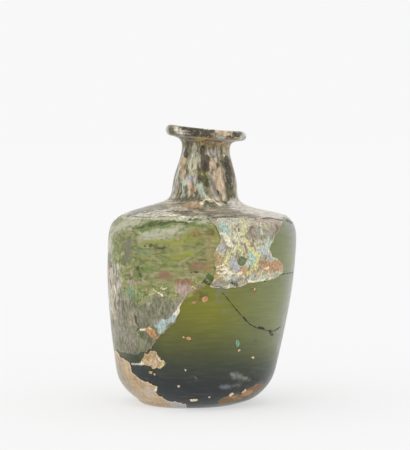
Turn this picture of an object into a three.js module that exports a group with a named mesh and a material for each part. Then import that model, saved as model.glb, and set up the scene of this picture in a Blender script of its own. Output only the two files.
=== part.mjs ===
// A free-blown green glass bottle: a broad body that narrows to a rounded heel, a low shoulder,
// a tapering neck and a thick disc lip. It is one piece of glass, hollow, open at the mouth and
// pushed up a little underneath. Units are millimetres, Z is up, and the origin is on the resting
// plane below the middle of the bottle. The blower left it crooked, so the round form is bent last.
import * as THREE from 'three';

// Knots of the outside, before the form is bent. Each has its radius and height, the heading of
// the outline there in degrees from straight outwards, and how far the outline keeps to that
// heading before and after the knot.
const REST_RING = { radius: 19.6, height: 0, heading: 0, before: 0, after: 4.6 };
const HEEL_TOP = { radius: 36.0, height: 14.6, heading: 76.5, before: 8.9, after: 11.8 };
const WIDEST = { radius: 42.9, height: 74.5, heading: 90, before: 18.5, after: 6.0 };
const SHOULDER = { radius: 36.2, height: 85.85, heading: 160.5, before: 5.4, after: 6.0 };
const NECK_ROOT = { radius: 17.7, height: 91.4, heading: 150, before: 3.8, after: 3.0 };
const NECK_FOOT = { radius: 14.4, height: 98.5, heading: 93.5, before: 3.9, after: 6.0 };
const THROAT = { radius: 10.5, height: 115.6, heading: 90, before: 4.0, after: 3.4 };

// The disc lip: its underside meets the rounded edge nearly level, and its top dips a little
// towards the rounded mouth.
const LIP_RADIUS = 18.05;
const LIP_THICKNESS = 4.1;
const LIP_UNDERSIDE_HEIGHT = 120.9;
const LIP_UNDERSIDE_HEADING = 8;
const LIP_UNDERSIDE_REACH = 4.6;
const LIP_TOP_HEADING = 184;
const LIP_TOP_REACH = 2.2;
const LIP_DISH = 0.6;
const MOUTH_RADIUS = 7.4;
const MOUTH_ROLL = 2.4;
const MOUTH_ROLL_REACH = 1.6;

// The pushed-up underside and the floor above it.
const KICK_RADIUS = 14.5;
const KICK_HEIGHT = 3.2;
const KICK_HEADING = -22;
const KICK_REACH = 5.5;
const FLOOR_THICKNESS = 3.8;
const FLOOR_REACH = 7;

// Thickness of the wall: heavy at the heel, thin in the body and thicker again in the neck.
const HEEL_WALL = 3.4;
const BODY_WALL = 2.3;
const NECK_WALL = 2.9;

// How far the blown form is bent away from round and upright: sideways in millimetres, tilts in
// degrees, and the heights where they begin.
const DEPTH_RATIO = 0.985;
const FOOT_LEAN = -3.3;
const HEEL_SLUMP = -2.2;
const HEEL_SLUMP_HEIGHT = 3;
const SHOULDER_LEAN = 0.1;
const NECK_LEAN_START = 83;
const LIP_LEAN = 1.35;
const SHOULDER_TILT = 2.4;
const SHOULDER_TILT_START = 84.4;
const LIP_TILT = 2.0;
const LIP_TILT_START = 110.6;
const LIP_SWELL = 0.3;
const LIP_DIP = 0.45;

// Fineness of the faceted surface: sides round the axis, and steps along each curve.
const SIDES = 64;
const STEPS = {
  heel: 6,
  wall: 6,
  shoulder: 7,
  shoulderSlope: 4,
  neckRoot: 4,
  neck: 5,
  lipUnderside: 5,
  lipEdge: 6,
  lipTop: 2,
  mouth: 4,
  floor: 4,
  kick: 5,
};

const GLASS = new THREE.MeshStandardMaterial({
  name: 'weathered_green_glass',
  color: 0x6f7a3a,
  roughness: 0.3,
  metalness: 0.0,
  transparent: true,
  opacity: 0.75,
});

// A knot's place in the section, moved along its heading by a reach.
function reachFrom({ radius, height, heading }, reach) {
  const turn = THREE.MathUtils.degToRad(heading);
  return new THREE.Vector2(radius + reach * Math.cos(turn), height + reach * Math.sin(turn));
}

// Points of the smooth curve from one knot to the next.
function curveBetween(from, to, steps) {
  const curve = new THREE.CubicBezierCurve(
    reachFrom(from, 0),
    reachFrom(from, from.after),
    reachFrom(to, -to.before),
    reachFrom(to, 0),
  );
  return curve.getPoints(steps);
}

// Joins stretches end to end, so that the point they share comes once.
function joined(...stretches) {
  return stretches.flatMap((points, i) => (i === 0 ? points : points.slice(1)));
}

// The outside, from the edge of the resting ring up to the throat.
function outerWall() {
  return joined(
    curveBetween(REST_RING, HEEL_TOP, STEPS.heel),
    curveBetween(HEEL_TOP, WIDEST, STEPS.wall),
    curveBetween(WIDEST, SHOULDER, STEPS.shoulder),
    curveBetween(SHOULDER, NECK_ROOT, STEPS.shoulderSlope),
    curveBetween(NECK_ROOT, NECK_FOOT, STEPS.neckRoot),
    curveBetween(NECK_FOOT, THROAT, STEPS.neck),
  );
}

// The lip, from the throat under the disc, round its edge and in over the top to the mouth.
function lip() {
  const edgeRadius = LIP_THICKNESS / 2;
  const radius = LIP_RADIUS - edgeRadius;
  const top = LIP_UNDERSIDE_HEIGHT + LIP_THICKNESS;
  const underside = {
    radius,
    height: LIP_UNDERSIDE_HEIGHT,
    heading: LIP_UNDERSIDE_HEADING,
    before: LIP_UNDERSIDE_REACH,
  };
  const edge = new THREE.EllipseCurve(
    radius, top - edgeRadius, edgeRadius, edgeRadius, -Math.PI / 2, Math.PI / 2,
  );
  const rim = { radius, height: top, heading: 180, after: LIP_TOP_REACH };
  const mouthEdge = {
    radius: MOUTH_RADIUS + MOUTH_ROLL,
    height: top - LIP_DISH,
    heading: LIP_TOP_HEADING,
    before: LIP_TOP_REACH,
    after: MOUTH_ROLL_REACH,
  };
  const bore = {
    radius: MOUTH_RADIUS,
    height: top - LIP_DISH - MOUTH_ROLL,
    heading: 270,
    before: MOUTH_ROLL_REACH,
  };
  return joined(
    curveBetween(THROAT, underside, STEPS.lipUnderside),
    edge.getPoints(STEPS.lipEdge),
    curveBetween(rim, mouthEdge, STEPS.lipTop),
    curveBetween(mouthEdge, bore, STEPS.mouth),
  );
}

// Thickness of the wall at a height of the outside.
function wallThickness(height) {
  const { smoothstep, lerp } = THREE.MathUtils;
  const aboveHeel = smoothstep(height, REST_RING.height, HEEL_TOP.height);
  const inNeck = smoothstep(height, SHOULDER.height, NECK_FOOT.height);
  return lerp(lerp(HEEL_WALL, BODY_WALL, aboveHeel), NECK_WALL, inNeck);
}

// The inside, from the throat down to the floor: every second point of the outside moved inwards,
// square to the wall, by the thickness there.
function innerWall(outside) {
  const inside = outside.map((point, i) => {
    const before = outside[Math.max(i - 1, 0)];
    const after = outside[Math.min(i + 1, outside.length - 1)];
    const along = after.clone().sub(before).normalize();
    const inwards = new THREE.Vector2(-along.y, along.x);
    return point.clone().addScaledVector(inwards, wallThickness(point.y));
  });
  return inside.filter((_, i) => i % 2 === 0).reverse();
}

// The floor inside, from the foot of the wall to its raised middle.
function floor(wallFoot) {
  const edge = { radius: wallFoot.x, height: wallFoot.y, heading: 180, after: FLOOR_REACH };
  const middle = {
    radius: 0,
    height: KICK_HEIGHT + FLOOR_THICKNESS,
    heading: 180,
    before: FLOOR_REACH,
  };
  return curveBetween(edge, middle, STEPS.floor);
}

// The pushed-up underside, from its middle to the inner edge of the resting ring.
function kick() {
  const middle = { radius: 0, height: KICK_HEIGHT, heading: 0, after: KICK_REACH };
  const ringEdge = { radius: KICK_RADIUS, height: 0, heading: KICK_HEADING, before: KICK_REACH };
  return curveBetween(middle, ringEdge, STEPS.kick);
}

// The whole section, up the outside and down the inside.
function section() {
  const outside = outerWall();
  const inside = innerWall(outside);
  return [
    ...kick(),
    ...joined(outside, lip()),
    ...joined(inside, floor(inside.at(-1))),
  ];
}

// Sideways place of the bottle's middle at a height: the foot slumps and leans one way, the neck
// the other, most of it at the neck's root.
function leanAt(height) {
  const { smoothstep, lerp, clamp } = THREE.MathUtils;
  const upBody = smoothstep(height, HEEL_SLUMP_HEIGHT, SHOULDER.height);
  const upNeck = clamp((height - NECK_LEAN_START) / (LIP_UNDERSIDE_HEIGHT - NECK_LEAN_START), 0, 1);
  const slump = HEEL_SLUMP * (1 - smoothstep(height, 0, HEEL_SLUMP_HEIGHT));
  return lerp(FOOT_LEAN, SHOULDER_LEAN, upBody)
    + (LIP_LEAN - SHOULDER_LEAN) * Math.sqrt(upNeck)
    + slump;
}

// How far the level planes of the round form are tilted at a height, in degrees.
function tiltAt(height) {
  const { smoothstep } = THREE.MathUtils;
  return SHOULDER_TILT * smoothstep(height, SHOULDER_TILT_START, NECK_ROOT.height)
    + LIP_TILT * smoothstep(height, LIP_TILT_START, LIP_UNDERSIDE_HEIGHT);
}

// Bends a point of the round form to where the crooked bottle has it. The top of the lip also
// swells on one side and dips across the middle.
function bend(point) {
  const { x, y, z } = point;
  const turn = Math.atan2(y, x);
  const lipTop = LIP_UNDERSIDE_HEIGHT + LIP_THICKNESS;
  const onLip = THREE.MathUtils.smoothstep(z, LIP_UNDERSIDE_HEIGHT, lipTop);
  const unevenLip = -LIP_SWELL * Math.cos(turn) - LIP_DIP * Math.sin(turn) ** 2;
  const tilt = THREE.MathUtils.degToRad(tiltAt(z));
  point.set(
    x + leanAt(z),
    y * DEPTH_RATIO,
    z - x * Math.tan(tilt) + onLip * unevenLip,
  );
}

// The bottle: the section turned round the upright axis, bent, and set over the origin.
function bottle() {
  const geometry = new THREE.LatheGeometry(section(), SIDES);
  geometry.rotateX(Math.PI / 2);
  const positions = geometry.getAttribute('position');
  const point = new THREE.Vector3();
  for (let i = 0; i < positions.count; i += 1) {
    point.fromBufferAttribute(positions, i);
    bend(point);
    positions.setXYZ(i, point.x, point.y, point.z);
  }
  geometry.computeBoundingBox();
  const middle = geometry.boundingBox.getCenter(new THREE.Vector3());
  geometry.translate(-middle.x, -middle.y, 0);
  geometry.computeVertexNormals();
  const mesh = new THREE.Mesh(geometry, GLASS);
  mesh.name = 'bottle';
  return mesh;
}

const object = new THREE.Group();
object.name = 'green_glass_bottle';
object.add(bottle());

export default object;
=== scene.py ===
"""Dresses the old green bottle: its blown glass, the crust of long burial, flakes and join lines.

Lengths are millimetres until a mesh is written, when one function turns them into metres. Marks on
the front are placed by the pixel of the photograph where they show, which the photograph's own
camera then finds on the bottle. The sides that it doesn't show have broad plain patches instead.
"""
from __future__ import annotations

import logging
import math
from dataclasses import dataclass
from enum import Enum
from itertools import product
from typing import Callable, Iterable, Sequence

import bpy
import numpy as np
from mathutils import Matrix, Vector


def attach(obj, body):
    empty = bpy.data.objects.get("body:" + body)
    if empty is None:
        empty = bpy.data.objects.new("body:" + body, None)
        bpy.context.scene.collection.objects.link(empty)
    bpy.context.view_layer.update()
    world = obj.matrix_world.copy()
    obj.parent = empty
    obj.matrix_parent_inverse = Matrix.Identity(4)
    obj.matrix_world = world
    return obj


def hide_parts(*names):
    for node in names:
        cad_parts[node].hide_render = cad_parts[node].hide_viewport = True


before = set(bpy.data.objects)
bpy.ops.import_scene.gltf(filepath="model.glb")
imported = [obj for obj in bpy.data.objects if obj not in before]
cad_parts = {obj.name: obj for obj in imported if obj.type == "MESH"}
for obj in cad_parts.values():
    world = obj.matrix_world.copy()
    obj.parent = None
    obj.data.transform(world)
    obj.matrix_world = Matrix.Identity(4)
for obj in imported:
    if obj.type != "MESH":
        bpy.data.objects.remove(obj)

LOG = logging.getLogger("bottle")
MM = 0.001
NODE = "bottle"
WHITE = (1.0, 1.0, 1.0, 1.0)
# Points that lie closer together than this are one point.
WELD = 0.01 * MM
# Less cover than this doesn't show, and the most that a tint hides of what lies under it.
LEAST_COVER = 0.05
THICKEST_TINT = 0.86
# The cosines of the angle to the eye between which marks fade in, round the sides and on level
# places, and how far a surface faces up where it begins to count as level and where it wholly does.
SIDE_FADE = (-0.4, -0.1)
LEVEL_FADE = (-0.1, 0.1)
NEARLY_LEVEL = (0.6, 0.85)
# The grid of random lumps lies askew, so that its rows never line up with the bottle. Large odd
# numbers scatter its corners, and each seed moves it by some cells.
ASKEW = np.array([[0.64, 0.52, -0.57], [-0.77, 0.44, -0.46], [0.01, 0.73, 0.68]])
SCATTER = (73856093, 19349663, 83492791)
REMIX = 1274126177
SEED_SHIFT = 7.31
Places = Sequence[tuple[float, float]]


def smooth_between(start: float, end: float, value: np.ndarray) -> np.ndarray:
    """Rises smoothly from 0 at start to 1 at end.

    Args:
        start: Where the rise begins.
        end: Where it is complete.
        value: The values to judge.

    Returns:
        The share of the rise at each value.
    """
    share = np.clip((value - start) / (end - start), 0.0, 1.0)
    return share * share * (3.0 - 2.0 * share)


def lumps(points: np.ndarray, size: float, seed: int) -> np.ndarray:
    """Smooth random lumps in space, the same on every run.

    Args:
        points: Places in millimetres, one row each.
        size: Distance between lumps in millimetres.
        seed: Chooses one pattern of many.

    Returns:
        A value from -1 to 1 for each place.
    """
    cell = points @ ASKEW / size + SEED_SHIFT * seed
    corner_of = np.floor(cell).astype(np.int64)
    part = smooth_between(0.0, 1.0, cell - corner_of)
    total = np.zeros(len(points))
    for corner in product((0, 1), repeat=3):
        mixed = np.bitwise_xor.reduce((corner_of + np.array(corner)) * np.array(SCATTER), axis=1)
        mixed = (mixed ^ (mixed >> 13)) * REMIX
        value = ((mixed ^ (mixed >> 16)) & 0xFFFF) / 0xFFFF
        total += value * np.prod(np.where(corner, part, 1.0 - part), axis=1)
    return total * 2.0 - 1.0


def distance_to_path(places: np.ndarray, path: Places, closed: bool = False) -> np.ndarray:
    """Distance from places to a path of straight stretches.

    Args:
        places: Places to judge, one row each.
        path: The points of the path.
        closed: Whether the last point joins the first.

    Returns:
        The distance of each place, in the path's own units.
    """
    points = [np.array(point, float) for point in path]
    ends = points[1:] + points[:1] if closed else points[1:]
    best = np.full(len(places), np.inf)
    for start, end in zip(points, ends):
        along = end - start
        share = np.clip((places - start) @ along / (along @ along), 0.0, 1.0)
        best = np.minimum(best, np.hypot(*(places - start - share[:, None] * along).T))
    return best


def depth_inside(places: np.ndarray, outline: Places) -> np.ndarray:
    """How far places lie inside a closed outline, negative outside.

    Args:
        places: Places to judge, one row each.
        outline: The corners of the outline.

    Returns:
        The signed distance to the outline, in its own units.
    """
    inside = np.zeros(len(places), bool)
    x, y = places.T
    for (x0, y0), (x1, y1) in zip(outline, [*outline[1:], outline[0]]):
        crosses = (y0 > y) != (y1 > y)
        if y0 != y1:
            inside ^= crosses & (x < (x1 - x0) * (y - y0) / (y1 - y0) + x0)
    distance = distance_to_path(places, outline, closed=True)
    return np.where(inside, distance, -distance)


@dataclass(frozen=True)
class PhotoView:
    """The photograph's camera: level with the lip, looking down a little at the body."""

    distance: float = 900.0
    height: float = 122.0
    side: float = 1.14
    aim_height: float = 81.1
    pixel: float = 0.455
    columns: int = 410
    rows: int = 450
    sensor: float = 36.0
    nearest: float = 10.0
    farthest: float = 100_000.0

    def place(self) -> np.ndarray:
        """Where the camera stands."""
        return np.array([self.side, -self.distance, self.height])

    def pixels(self, points: np.ndarray) -> np.ndarray:
        """Where points show in the photograph.

        Args:
            points: Places in millimetres, one row each.

        Returns:
            Column and row of each point.
        """
        forward = np.array([0.0, self.distance, self.aim_height - self.height])
        forward /= np.linalg.norm(forward)
        right = np.array([1.0, 0.0, 0.0])
        up = np.cross(right, forward)
        from_camera = points - self.place()
        scale = self.distance / self.pixel / (from_camera @ forward)
        return np.stack([
            self.columns / 2 + scale * (from_camera @ right),
            self.rows / 2 - scale * (from_camera @ up),
        ], axis=1)

    def build(self) -> None:
        """Sets up the camera and makes it the scene's own."""
        data = bpy.data.cameras.new("photo_camera")
        data.sensor_fit = "VERTICAL"
        data.sensor_height = self.sensor
        data.lens = self.distance / self.pixel * self.sensor / self.rows
        data.clip_start = self.nearest * MM
        data.clip_end = self.farthest * MM
        camera = bpy.data.objects.new("photo_camera", data)
        camera.location = Vector(self.place()) * MM
        aim = Vector((self.side, 0.0, self.aim_height)) * MM
        camera.rotation_euler = (aim - camera.location).to_track_quat("-Z", "Y").to_euler()
        bpy.context.scene.collection.objects.link(camera)
        bpy.context.scene.camera = camera


VIEW = PhotoView()


@dataclass(frozen=True)
class Knot:
    """A place on the outline, its heading in degrees from straight outwards, and how far it holds."""

    radius: float
    height: float
    heading: float
    before: float = 0.0
    after: float = 0.0

    def reach(self, length: float) -> np.ndarray:
        """The knot's place, moved along its heading."""
        turn = math.radians(self.heading)
        return np.array([self.radius + length * math.cos(turn), self.height + length * math.sin(turn)])

    def curve_to(self, end: Knot, step: float) -> np.ndarray:
        """Points of the smooth curve to the next knot.

        Args:
            end: The knot where the curve ends.
            step: About how far apart the points are.

        Returns:
            Radius and height of each point.
        """
        handles = (self.reach(0.0), self.reach(self.after), end.reach(-end.before), end.reach(0.0))
        length = sum(np.linalg.norm(b - a) for a, b in zip(handles, handles[1:]))
        share = np.linspace(0.0, 1.0, max(int(length / step), 3) + 1)[:, None]
        rest = 1.0 - share
        weights = (rest ** 3, 3 * rest ** 2 * share, 3 * rest * share ** 2, share ** 3)
        return sum(weight * handle for weight, handle in zip(weights, handles))


def joined(*stretches: np.ndarray) -> np.ndarray:
    """Joins stretches end to end, so that the point they share comes once."""
    return np.vstack([stretches[0], *(points[1:] for points in stretches[1:])])


@dataclass(frozen=True)
class BlownForm:
    """The bottle's true form: its section, and how far the blower left it crooked.

    Leans and swells are millimetres sideways, tilts are degrees, and a reach is how far the outline
    keeps to its heading.
    """

    rest_ring: Knot = Knot(19.6, 0.0, 0.0, after=4.6)
    heel_top: Knot = Knot(36.0, 14.6, 76.5, before=8.9, after=11.8)
    widest: Knot = Knot(42.9, 74.5, 90.0, before=18.5, after=6.0)
    shoulder: Knot = Knot(36.2, 85.85, 160.5, before=5.4, after=6.0)
    neck_root: Knot = Knot(17.7, 91.4, 150.0, before=3.8, after=3.0)
    neck_foot: Knot = Knot(14.4, 98.5, 93.5, before=3.9, after=6.0)
    throat: Knot = Knot(10.5, 115.6, 90.0, before=4.0, after=3.4)
    lip_radius: float = 18.05
    lip_thickness: float = 4.1
    lip_underside: float = 120.9
    lip_underside_heading: float = 8.0
    lip_underside_reach: float = 4.6
    lip_top_heading: float = 184.0
    lip_top_reach: float = 2.2
    lip_dish: float = 0.6
    mouth_radius: float = 7.4
    mouth_roll: float = 2.4
    mouth_roll_reach: float = 1.6
    kick_radius: float = 14.5
    kick_height: float = 3.2
    kick_heading: float = -22.0
    kick_reach: float = 5.5
    floor_thickness: float = 3.8
    floor_reach: float = 7.0
    heel_wall: float = 3.4
    body_wall: float = 2.3
    neck_wall: float = 2.9
    depth_ratio: float = 0.985
    foot_lean: float = -3.3
    heel_slump: float = -2.2
    heel_slump_height: float = 3.0
    shoulder_lean: float = 0.1
    neck_lean_start: float = 83.0
    lip_lean: float = 1.35
    shoulder_tilt: float = 2.4
    shoulder_tilt_start: float = 84.4
    lip_tilt: float = 2.0
    lip_tilt_start: float = 110.6
    lip_swell: float = 0.3
    lip_dip: float = 0.45
    centring: float = 0.11
    swell: float = 0.16
    swell_heights: tuple[float, float] = (6.0, 20.0)
    swell_core: float = 6.0
    swell_twists: tuple[float, float] = (15.0, 9.0)

    def lip_top(self) -> float:
        """Height of the lip's top, before its tilt."""
        return self.lip_underside + self.lip_thickness

    def wall(self, step: float, *further: Knot) -> np.ndarray:
        """The outside from the resting ring to the throat, and on to further knots."""
        knots = (self.rest_ring, self.heel_top, self.widest, self.shoulder, self.neck_root,
                 self.neck_foot, self.throat, *further)
        return joined(*(a.curve_to(b, step) for a, b in zip(knots, knots[1:])))

    def outside(self, step: float) -> np.ndarray:
        """The outside, from the resting ring up round the lip to the mouth.

        Args:
            step: About how far apart the points are.

        Returns:
            Radius and height of each point.
        """
        top = self.lip_top()
        edge_radius = self.lip_thickness / 2
        radius = self.lip_radius - edge_radius
        turns = np.radians(np.linspace(-90.0, 90.0, max(int(math.pi * edge_radius / step), 6) + 1))
        edge = np.stack([radius + edge_radius * np.cos(turns),
                         top - edge_radius + edge_radius * np.sin(turns)], axis=1)
        under = Knot(radius, self.lip_underside, self.lip_underside_heading,
                     before=self.lip_underside_reach)
        rim = Knot(radius, top, 180.0, after=self.lip_top_reach)
        mouth = Knot(self.mouth_radius + self.mouth_roll, top - self.lip_dish, self.lip_top_heading,
                     self.lip_top_reach, self.mouth_roll_reach)
        bore = Knot(self.mouth_radius, top - self.lip_dish - self.mouth_roll, 270.0,
                    before=self.mouth_roll_reach)
        return joined(self.wall(step, under), edge, rim.curve_to(mouth, step),
                      mouth.curve_to(bore, step))

    def inside(self, step: float) -> np.ndarray:
        """The inner wall, from the throat down to the middle of the floor.

        Args:
            step: About how far apart the points are.

        Returns:
            Radius and height of each point.
        """
        outside = self.wall(step)
        along = np.gradient(outside, axis=0)
        along /= np.linalg.norm(along, axis=1)[:, None]
        height = outside[:, 1]
        lower = self.heel_wall + (self.body_wall - self.heel_wall) * smooth_between(
            0.0, self.heel_top.height, height)
        thickness = lower + (self.neck_wall - lower) * smooth_between(
            self.shoulder.height, self.neck_foot.height, height)
        wall = (outside + np.stack([-along[:, 1], along[:, 0]], axis=1) * thickness[:, None])[::-1]
        foot = Knot(wall[-1, 0], wall[-1, 1], 180.0, after=self.floor_reach)
        middle = Knot(0.0, self.kick_height + self.floor_thickness, 180.0, before=self.floor_reach)
        return joined(wall, foot.curve_to(middle, step))

    def section(self, outer_step: float, inner_step: float) -> np.ndarray:
        """The whole section, up the outside and down the inside."""
        middle = Knot(0.0, self.kick_height, 0.0, after=self.kick_reach)
        ring_edge = Knot(self.kick_radius, 0.0, self.kick_heading, before=self.kick_reach)
        kick = middle.curve_to(ring_edge, inner_step)
        return np.vstack([kick, self.outside(outer_step), self.inside(inner_step)])

    def bend(self, points: np.ndarray) -> np.ndarray:
        """Bends points of the round form to where the crooked bottle has them.

        Args:
            points: Places on the round, upright form, one row each.

        Returns:
            Their true places over the origin.
        """
        x, y, z = points.T
        turn = np.arctan2(y, x)
        swell = self.swelling(turn, z)
        radius = np.hypot(x, y)
        share = np.where(radius > self.swell_core, 1.0 + swell / np.maximum(radius, self.swell_core), 1.0)
        x, y = x * share, y * share
        up_neck = (z - self.neck_lean_start) / (self.lip_underside - self.neck_lean_start)
        lean = self.foot_lean + (self.shoulder_lean - self.foot_lean) * smooth_between(
            self.heel_slump_height, self.shoulder.height, z)
        lean += (self.lip_lean - self.shoulder_lean) * np.sqrt(np.clip(up_neck, 0.0, 1.0))
        lean += self.heel_slump * (1.0 - smooth_between(0.0, self.heel_slump_height, z))
        tilt = self.shoulder_tilt * smooth_between(self.shoulder_tilt_start, self.neck_root.height, z)
        tilt += self.lip_tilt * smooth_between(self.lip_tilt_start, self.lip_underside, z)
        on_lip = smooth_between(self.lip_underside, self.lip_top(), z)
        uneven = -self.lip_swell * np.cos(turn) - self.lip_dip * np.sin(turn) ** 2
        return np.stack([
            x + lean + self.centring,
            y * self.depth_ratio,
            z - x * np.tan(np.radians(tilt)) + on_lip * uneven,
        ], axis=1)

    def swelling(self, turn: np.ndarray, height: np.ndarray) -> np.ndarray:
        """How far the hand-blown wall swells out of round, in waves that twist as they climb."""
        three_waves = np.sin(3 * turn + height / self.swell_twists[0])
        two_waves = np.sin(2 * turn - height / self.swell_twists[1] + 1.0)
        return self.swell * smooth_between(*self.swell_heights, height) * (three_waves + 0.7 * two_waves)


FORM = BlownForm()


class Tint(Enum):
    """Colours of the glass, its weathering and its soil, and of painted sheen, from the lowest layer
    to the top one.

    Each has its sRGB colour, and how soft its edge is, from 0 for a flake to 1 for a haze.
    """

    # Haze is partly the grey etching of burial and partly painted sheen along the outlines, where the
    # glass turns from the eye.
    HAZE_AND_SHEEN = ("c0c0b8", 0.9)
    GREY_OLIVE = ("77765f", 0.6)
    BEIGE = ("a3968a", 0.5)
    MAUVE = ("b39a90", 0.5)
    # A painted highlight: the pale sheen of the lamp's reflection on the glass and the crust.
    PAINTED_SHEEN = ("c2c0a6", 0.8)
    LEAF_GREEN = ("6c8338", 0.6)
    YELLOW_GREEN = ("979c38", 0.6)
    TEAL_GREEN = ("6f8f70", 0.6)
    OLIVE_DARK = ("454a1c", 0.5)
    OLIVE_BROWN = ("5f4d1c", 0.5)
    GOLD = ("a3874a", 0.6)
    RED_BROWN = ("966b52", 0.6)
    SLATE = ("36444a", 0.4)
    PEWTER = ("868c98", 0.5)
    ASH = ("76756f", 0.5)
    VIVID_TEAL = ("3f8f78", 0.3)
    STONE = ("918a7e", 0.3)
    TAN = ("b79d77", 0.25)
    PALE_STONE = ("d2cbc0", 0.8)
    PEACH = ("ccb497", 0.35)
    RUST = ("7f573a", 0.35)
    ORANGE = ("ba8a58", 0.3)
    LILAC = ("b0afb5", 0.4)
    MINT = ("b7cbb9", 0.4)
    TURQUOISE = ("98c2b9", 0.35)
    SKY = ("adbeba", 0.4)
    YELLOW = ("d3d08a", 0.4)
    CREAM = ("ece2c6", 0.2)
    DARK_LINE = ("2f281d", 0.25)
    BARE_GREEN = ("4f6330", 0.2)

    def __init__(self, colour: str, softness: float) -> None:
        """Keeps the colour and the softness."""
        self.colour = colour
        self.softness = softness

    def layer(self) -> str:
        """Name of the mesh attribute that holds how much of this tint there is."""
        return f"tint_{self.name.lower()}"


def linear(colour: str) -> tuple[float, float, float, float]:
    """Turns an sRGB hex colour into the linear values that a shader takes."""
    parts = (int(colour[i:i + 2], 16) / 255 for i in (0, 2, 4))
    red, green, blue = (p / 12.92 if p <= 0.04045 else ((p + 0.055) / 1.055) ** 2.4 for p in parts)
    return (red, green, blue, 1.0)


@dataclass(frozen=True)
class Mark:
    """A brush mark of one tint along a path of pixels, or all over an outline."""

    tint: Tint
    path: Places
    width: float = 0.0
    soft: float = 1.0
    strength: float = 1.0
    filled: bool = False
    wander: float = 1.0

    def weight(self, skin: SkinPoints) -> np.ndarray:
        """How strongly the mark covers each point.

        Args:
            skin: The points of a surface.

        Returns:
            Cover from 0 to the mark's strength, with half of that at the mark's edge.
        """
        places = skin.pixels + skin.drift * self.wander
        if self.filled:
            depth = depth_inside(places, self.path)
        else:
            depth = self.width / 2 - distance_to_path(places, self.path)
        return np.clip(0.5 + depth / (2.0 * self.soft), 0.0, 1.0) * self.strength * skin.facing


@dataclass
class SkinPoints:
    """Points of a surface with all that places a mark on them.

    Heights are those of the unbent form. Facing is 1 where the photograph shows a point and 0 where
    it can't, and drift is how many pixels a mark wanders there.
    """

    points: np.ndarray
    height: np.ndarray
    pixels: np.ndarray
    facing: np.ndarray
    drift: np.ndarray

    @classmethod
    def of_round(cls, round_points: np.ndarray, normals: np.ndarray) -> SkinPoints:
        """Works out the places from points of the unbent form.

        Args:
            round_points: Places on the round, upright form.
            normals: Directions outwards there.

        Returns:
            The points where the crooked bottle has them, and how they show.
        """
        points = FORM.bend(round_points)
        to_camera = VIEW.place() - points
        to_camera /= np.linalg.norm(to_camera, axis=1)[:, None]
        # Marks run on a little behind the outline, by an uneven amount, and then fade. On the top of
        # the lip and the shoulder, which the photograph only grazes, they fade at the outline.
        towards = np.sum(normals * to_camera, axis=1)
        uneven = lumps(points, 7.0, 15)
        facing = smooth_between(*SIDE_FADE, towards + 0.1 * uneven)
        grazed = smooth_between(*LEVEL_FADE, towards + 0.08 * uneven)
        facing += (grazed - facing) * smooth_between(*NEARLY_LEVEL, normals[:, 2])
        # Marks wander by about a pixel and a half, so that none looks drawn with a brush.
        drift = np.stack([
            1.7 * lumps(points, 2.9, seed) + 1.1 * lumps(points, 1.3, seed + 2) for seed in (31, 32)
        ], axis=1)
        return cls(points, round_points[:, 2], VIEW.pixels(points), facing, drift)


def write_tints(mesh: bpy.types.Mesh, skin: SkinPoints, marks: Iterable[Mark]) -> set[Tint]:
    """Writes how much of each tint lies at each point of a mesh.

    Args:
        mesh: The mesh that is painted.
        skin: Its points, in the mesh's own order.
        marks: The marks to lay on it.

    Returns:
        The tints that the mesh now holds.
    """
    covers: dict[Tint, np.ndarray] = {}
    for mark in marks:
        cover = mark.weight(skin)
        if cover.max() > LEAST_COVER:
            covers[mark.tint] = np.maximum(covers.get(mark.tint, 0.0), cover)
    for tint, cover in covers.items():
        write_layer(mesh, tint.layer(), cover)
    return set(covers)


def write_layer(mesh: bpy.types.Mesh, name: str, values: np.ndarray) -> None:
    """Writes one value a point as a named attribute."""
    layer = mesh.attributes.new(name, "FLOAT", "POINT")
    layer.data.foreach_set("value", values.astype(np.float32))


def set_points(mesh: bpy.types.Mesh, points: np.ndarray) -> None:
    """Moves a mesh's points to places in millimetres."""
    mesh.vertices.foreach_set("co", (points * MM).astype(np.float32).ravel())
    mesh.update()


def vectors_of(elements: bpy.types.bpy_prop_collection, name: str) -> np.ndarray:
    """Reads a vector from each element of a mesh, one row each."""
    values = np.empty(len(elements) * 3, np.float32)
    elements.foreach_get(name, values)
    return values.reshape(-1, 3).astype(float)


def points_of(mesh: bpy.types.Mesh) -> np.ndarray:
    """The places of a mesh's points in millimetres."""
    return vectors_of(mesh.vertices, "co") / MM


def deselect_all() -> None:
    """Leaves nothing selected, so that the next operator acts on its own object."""
    bpy.ops.object.select_all(action="DESELECT")


def add_node(tree: bpy.types.NodeTree, kind: str, settings: dict | None = None,
             inputs: dict | None = None) -> bpy.types.Node:
    """Adds a node with its settings and its inputs.

    Args:
        tree: The material's or world's nodes.
        kind: Blender's name of the node.
        settings: Properties of the node.
        inputs: Sockets by name or number, each with a plain value or the socket that feeds it.

    Returns:
        The new node.
    """
    node = tree.nodes.new(kind)
    for name, value in (settings or {}).items():
        setattr(node, name, value)
    for name, value in (inputs or {}).items():
        if isinstance(value, bpy.types.NodeSocket):
            tree.links.new(value, node.inputs[name])
        else:
            node.inputs[name].default_value = value
    return node


def new_material(name: str) -> tuple[bpy.types.Material, bpy.types.NodeTree]:
    """Starts a material with no nodes."""
    material = bpy.data.materials.new(name)
    material.use_nodes = True
    material.node_tree.nodes.clear()
    return material, material.node_tree


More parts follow.
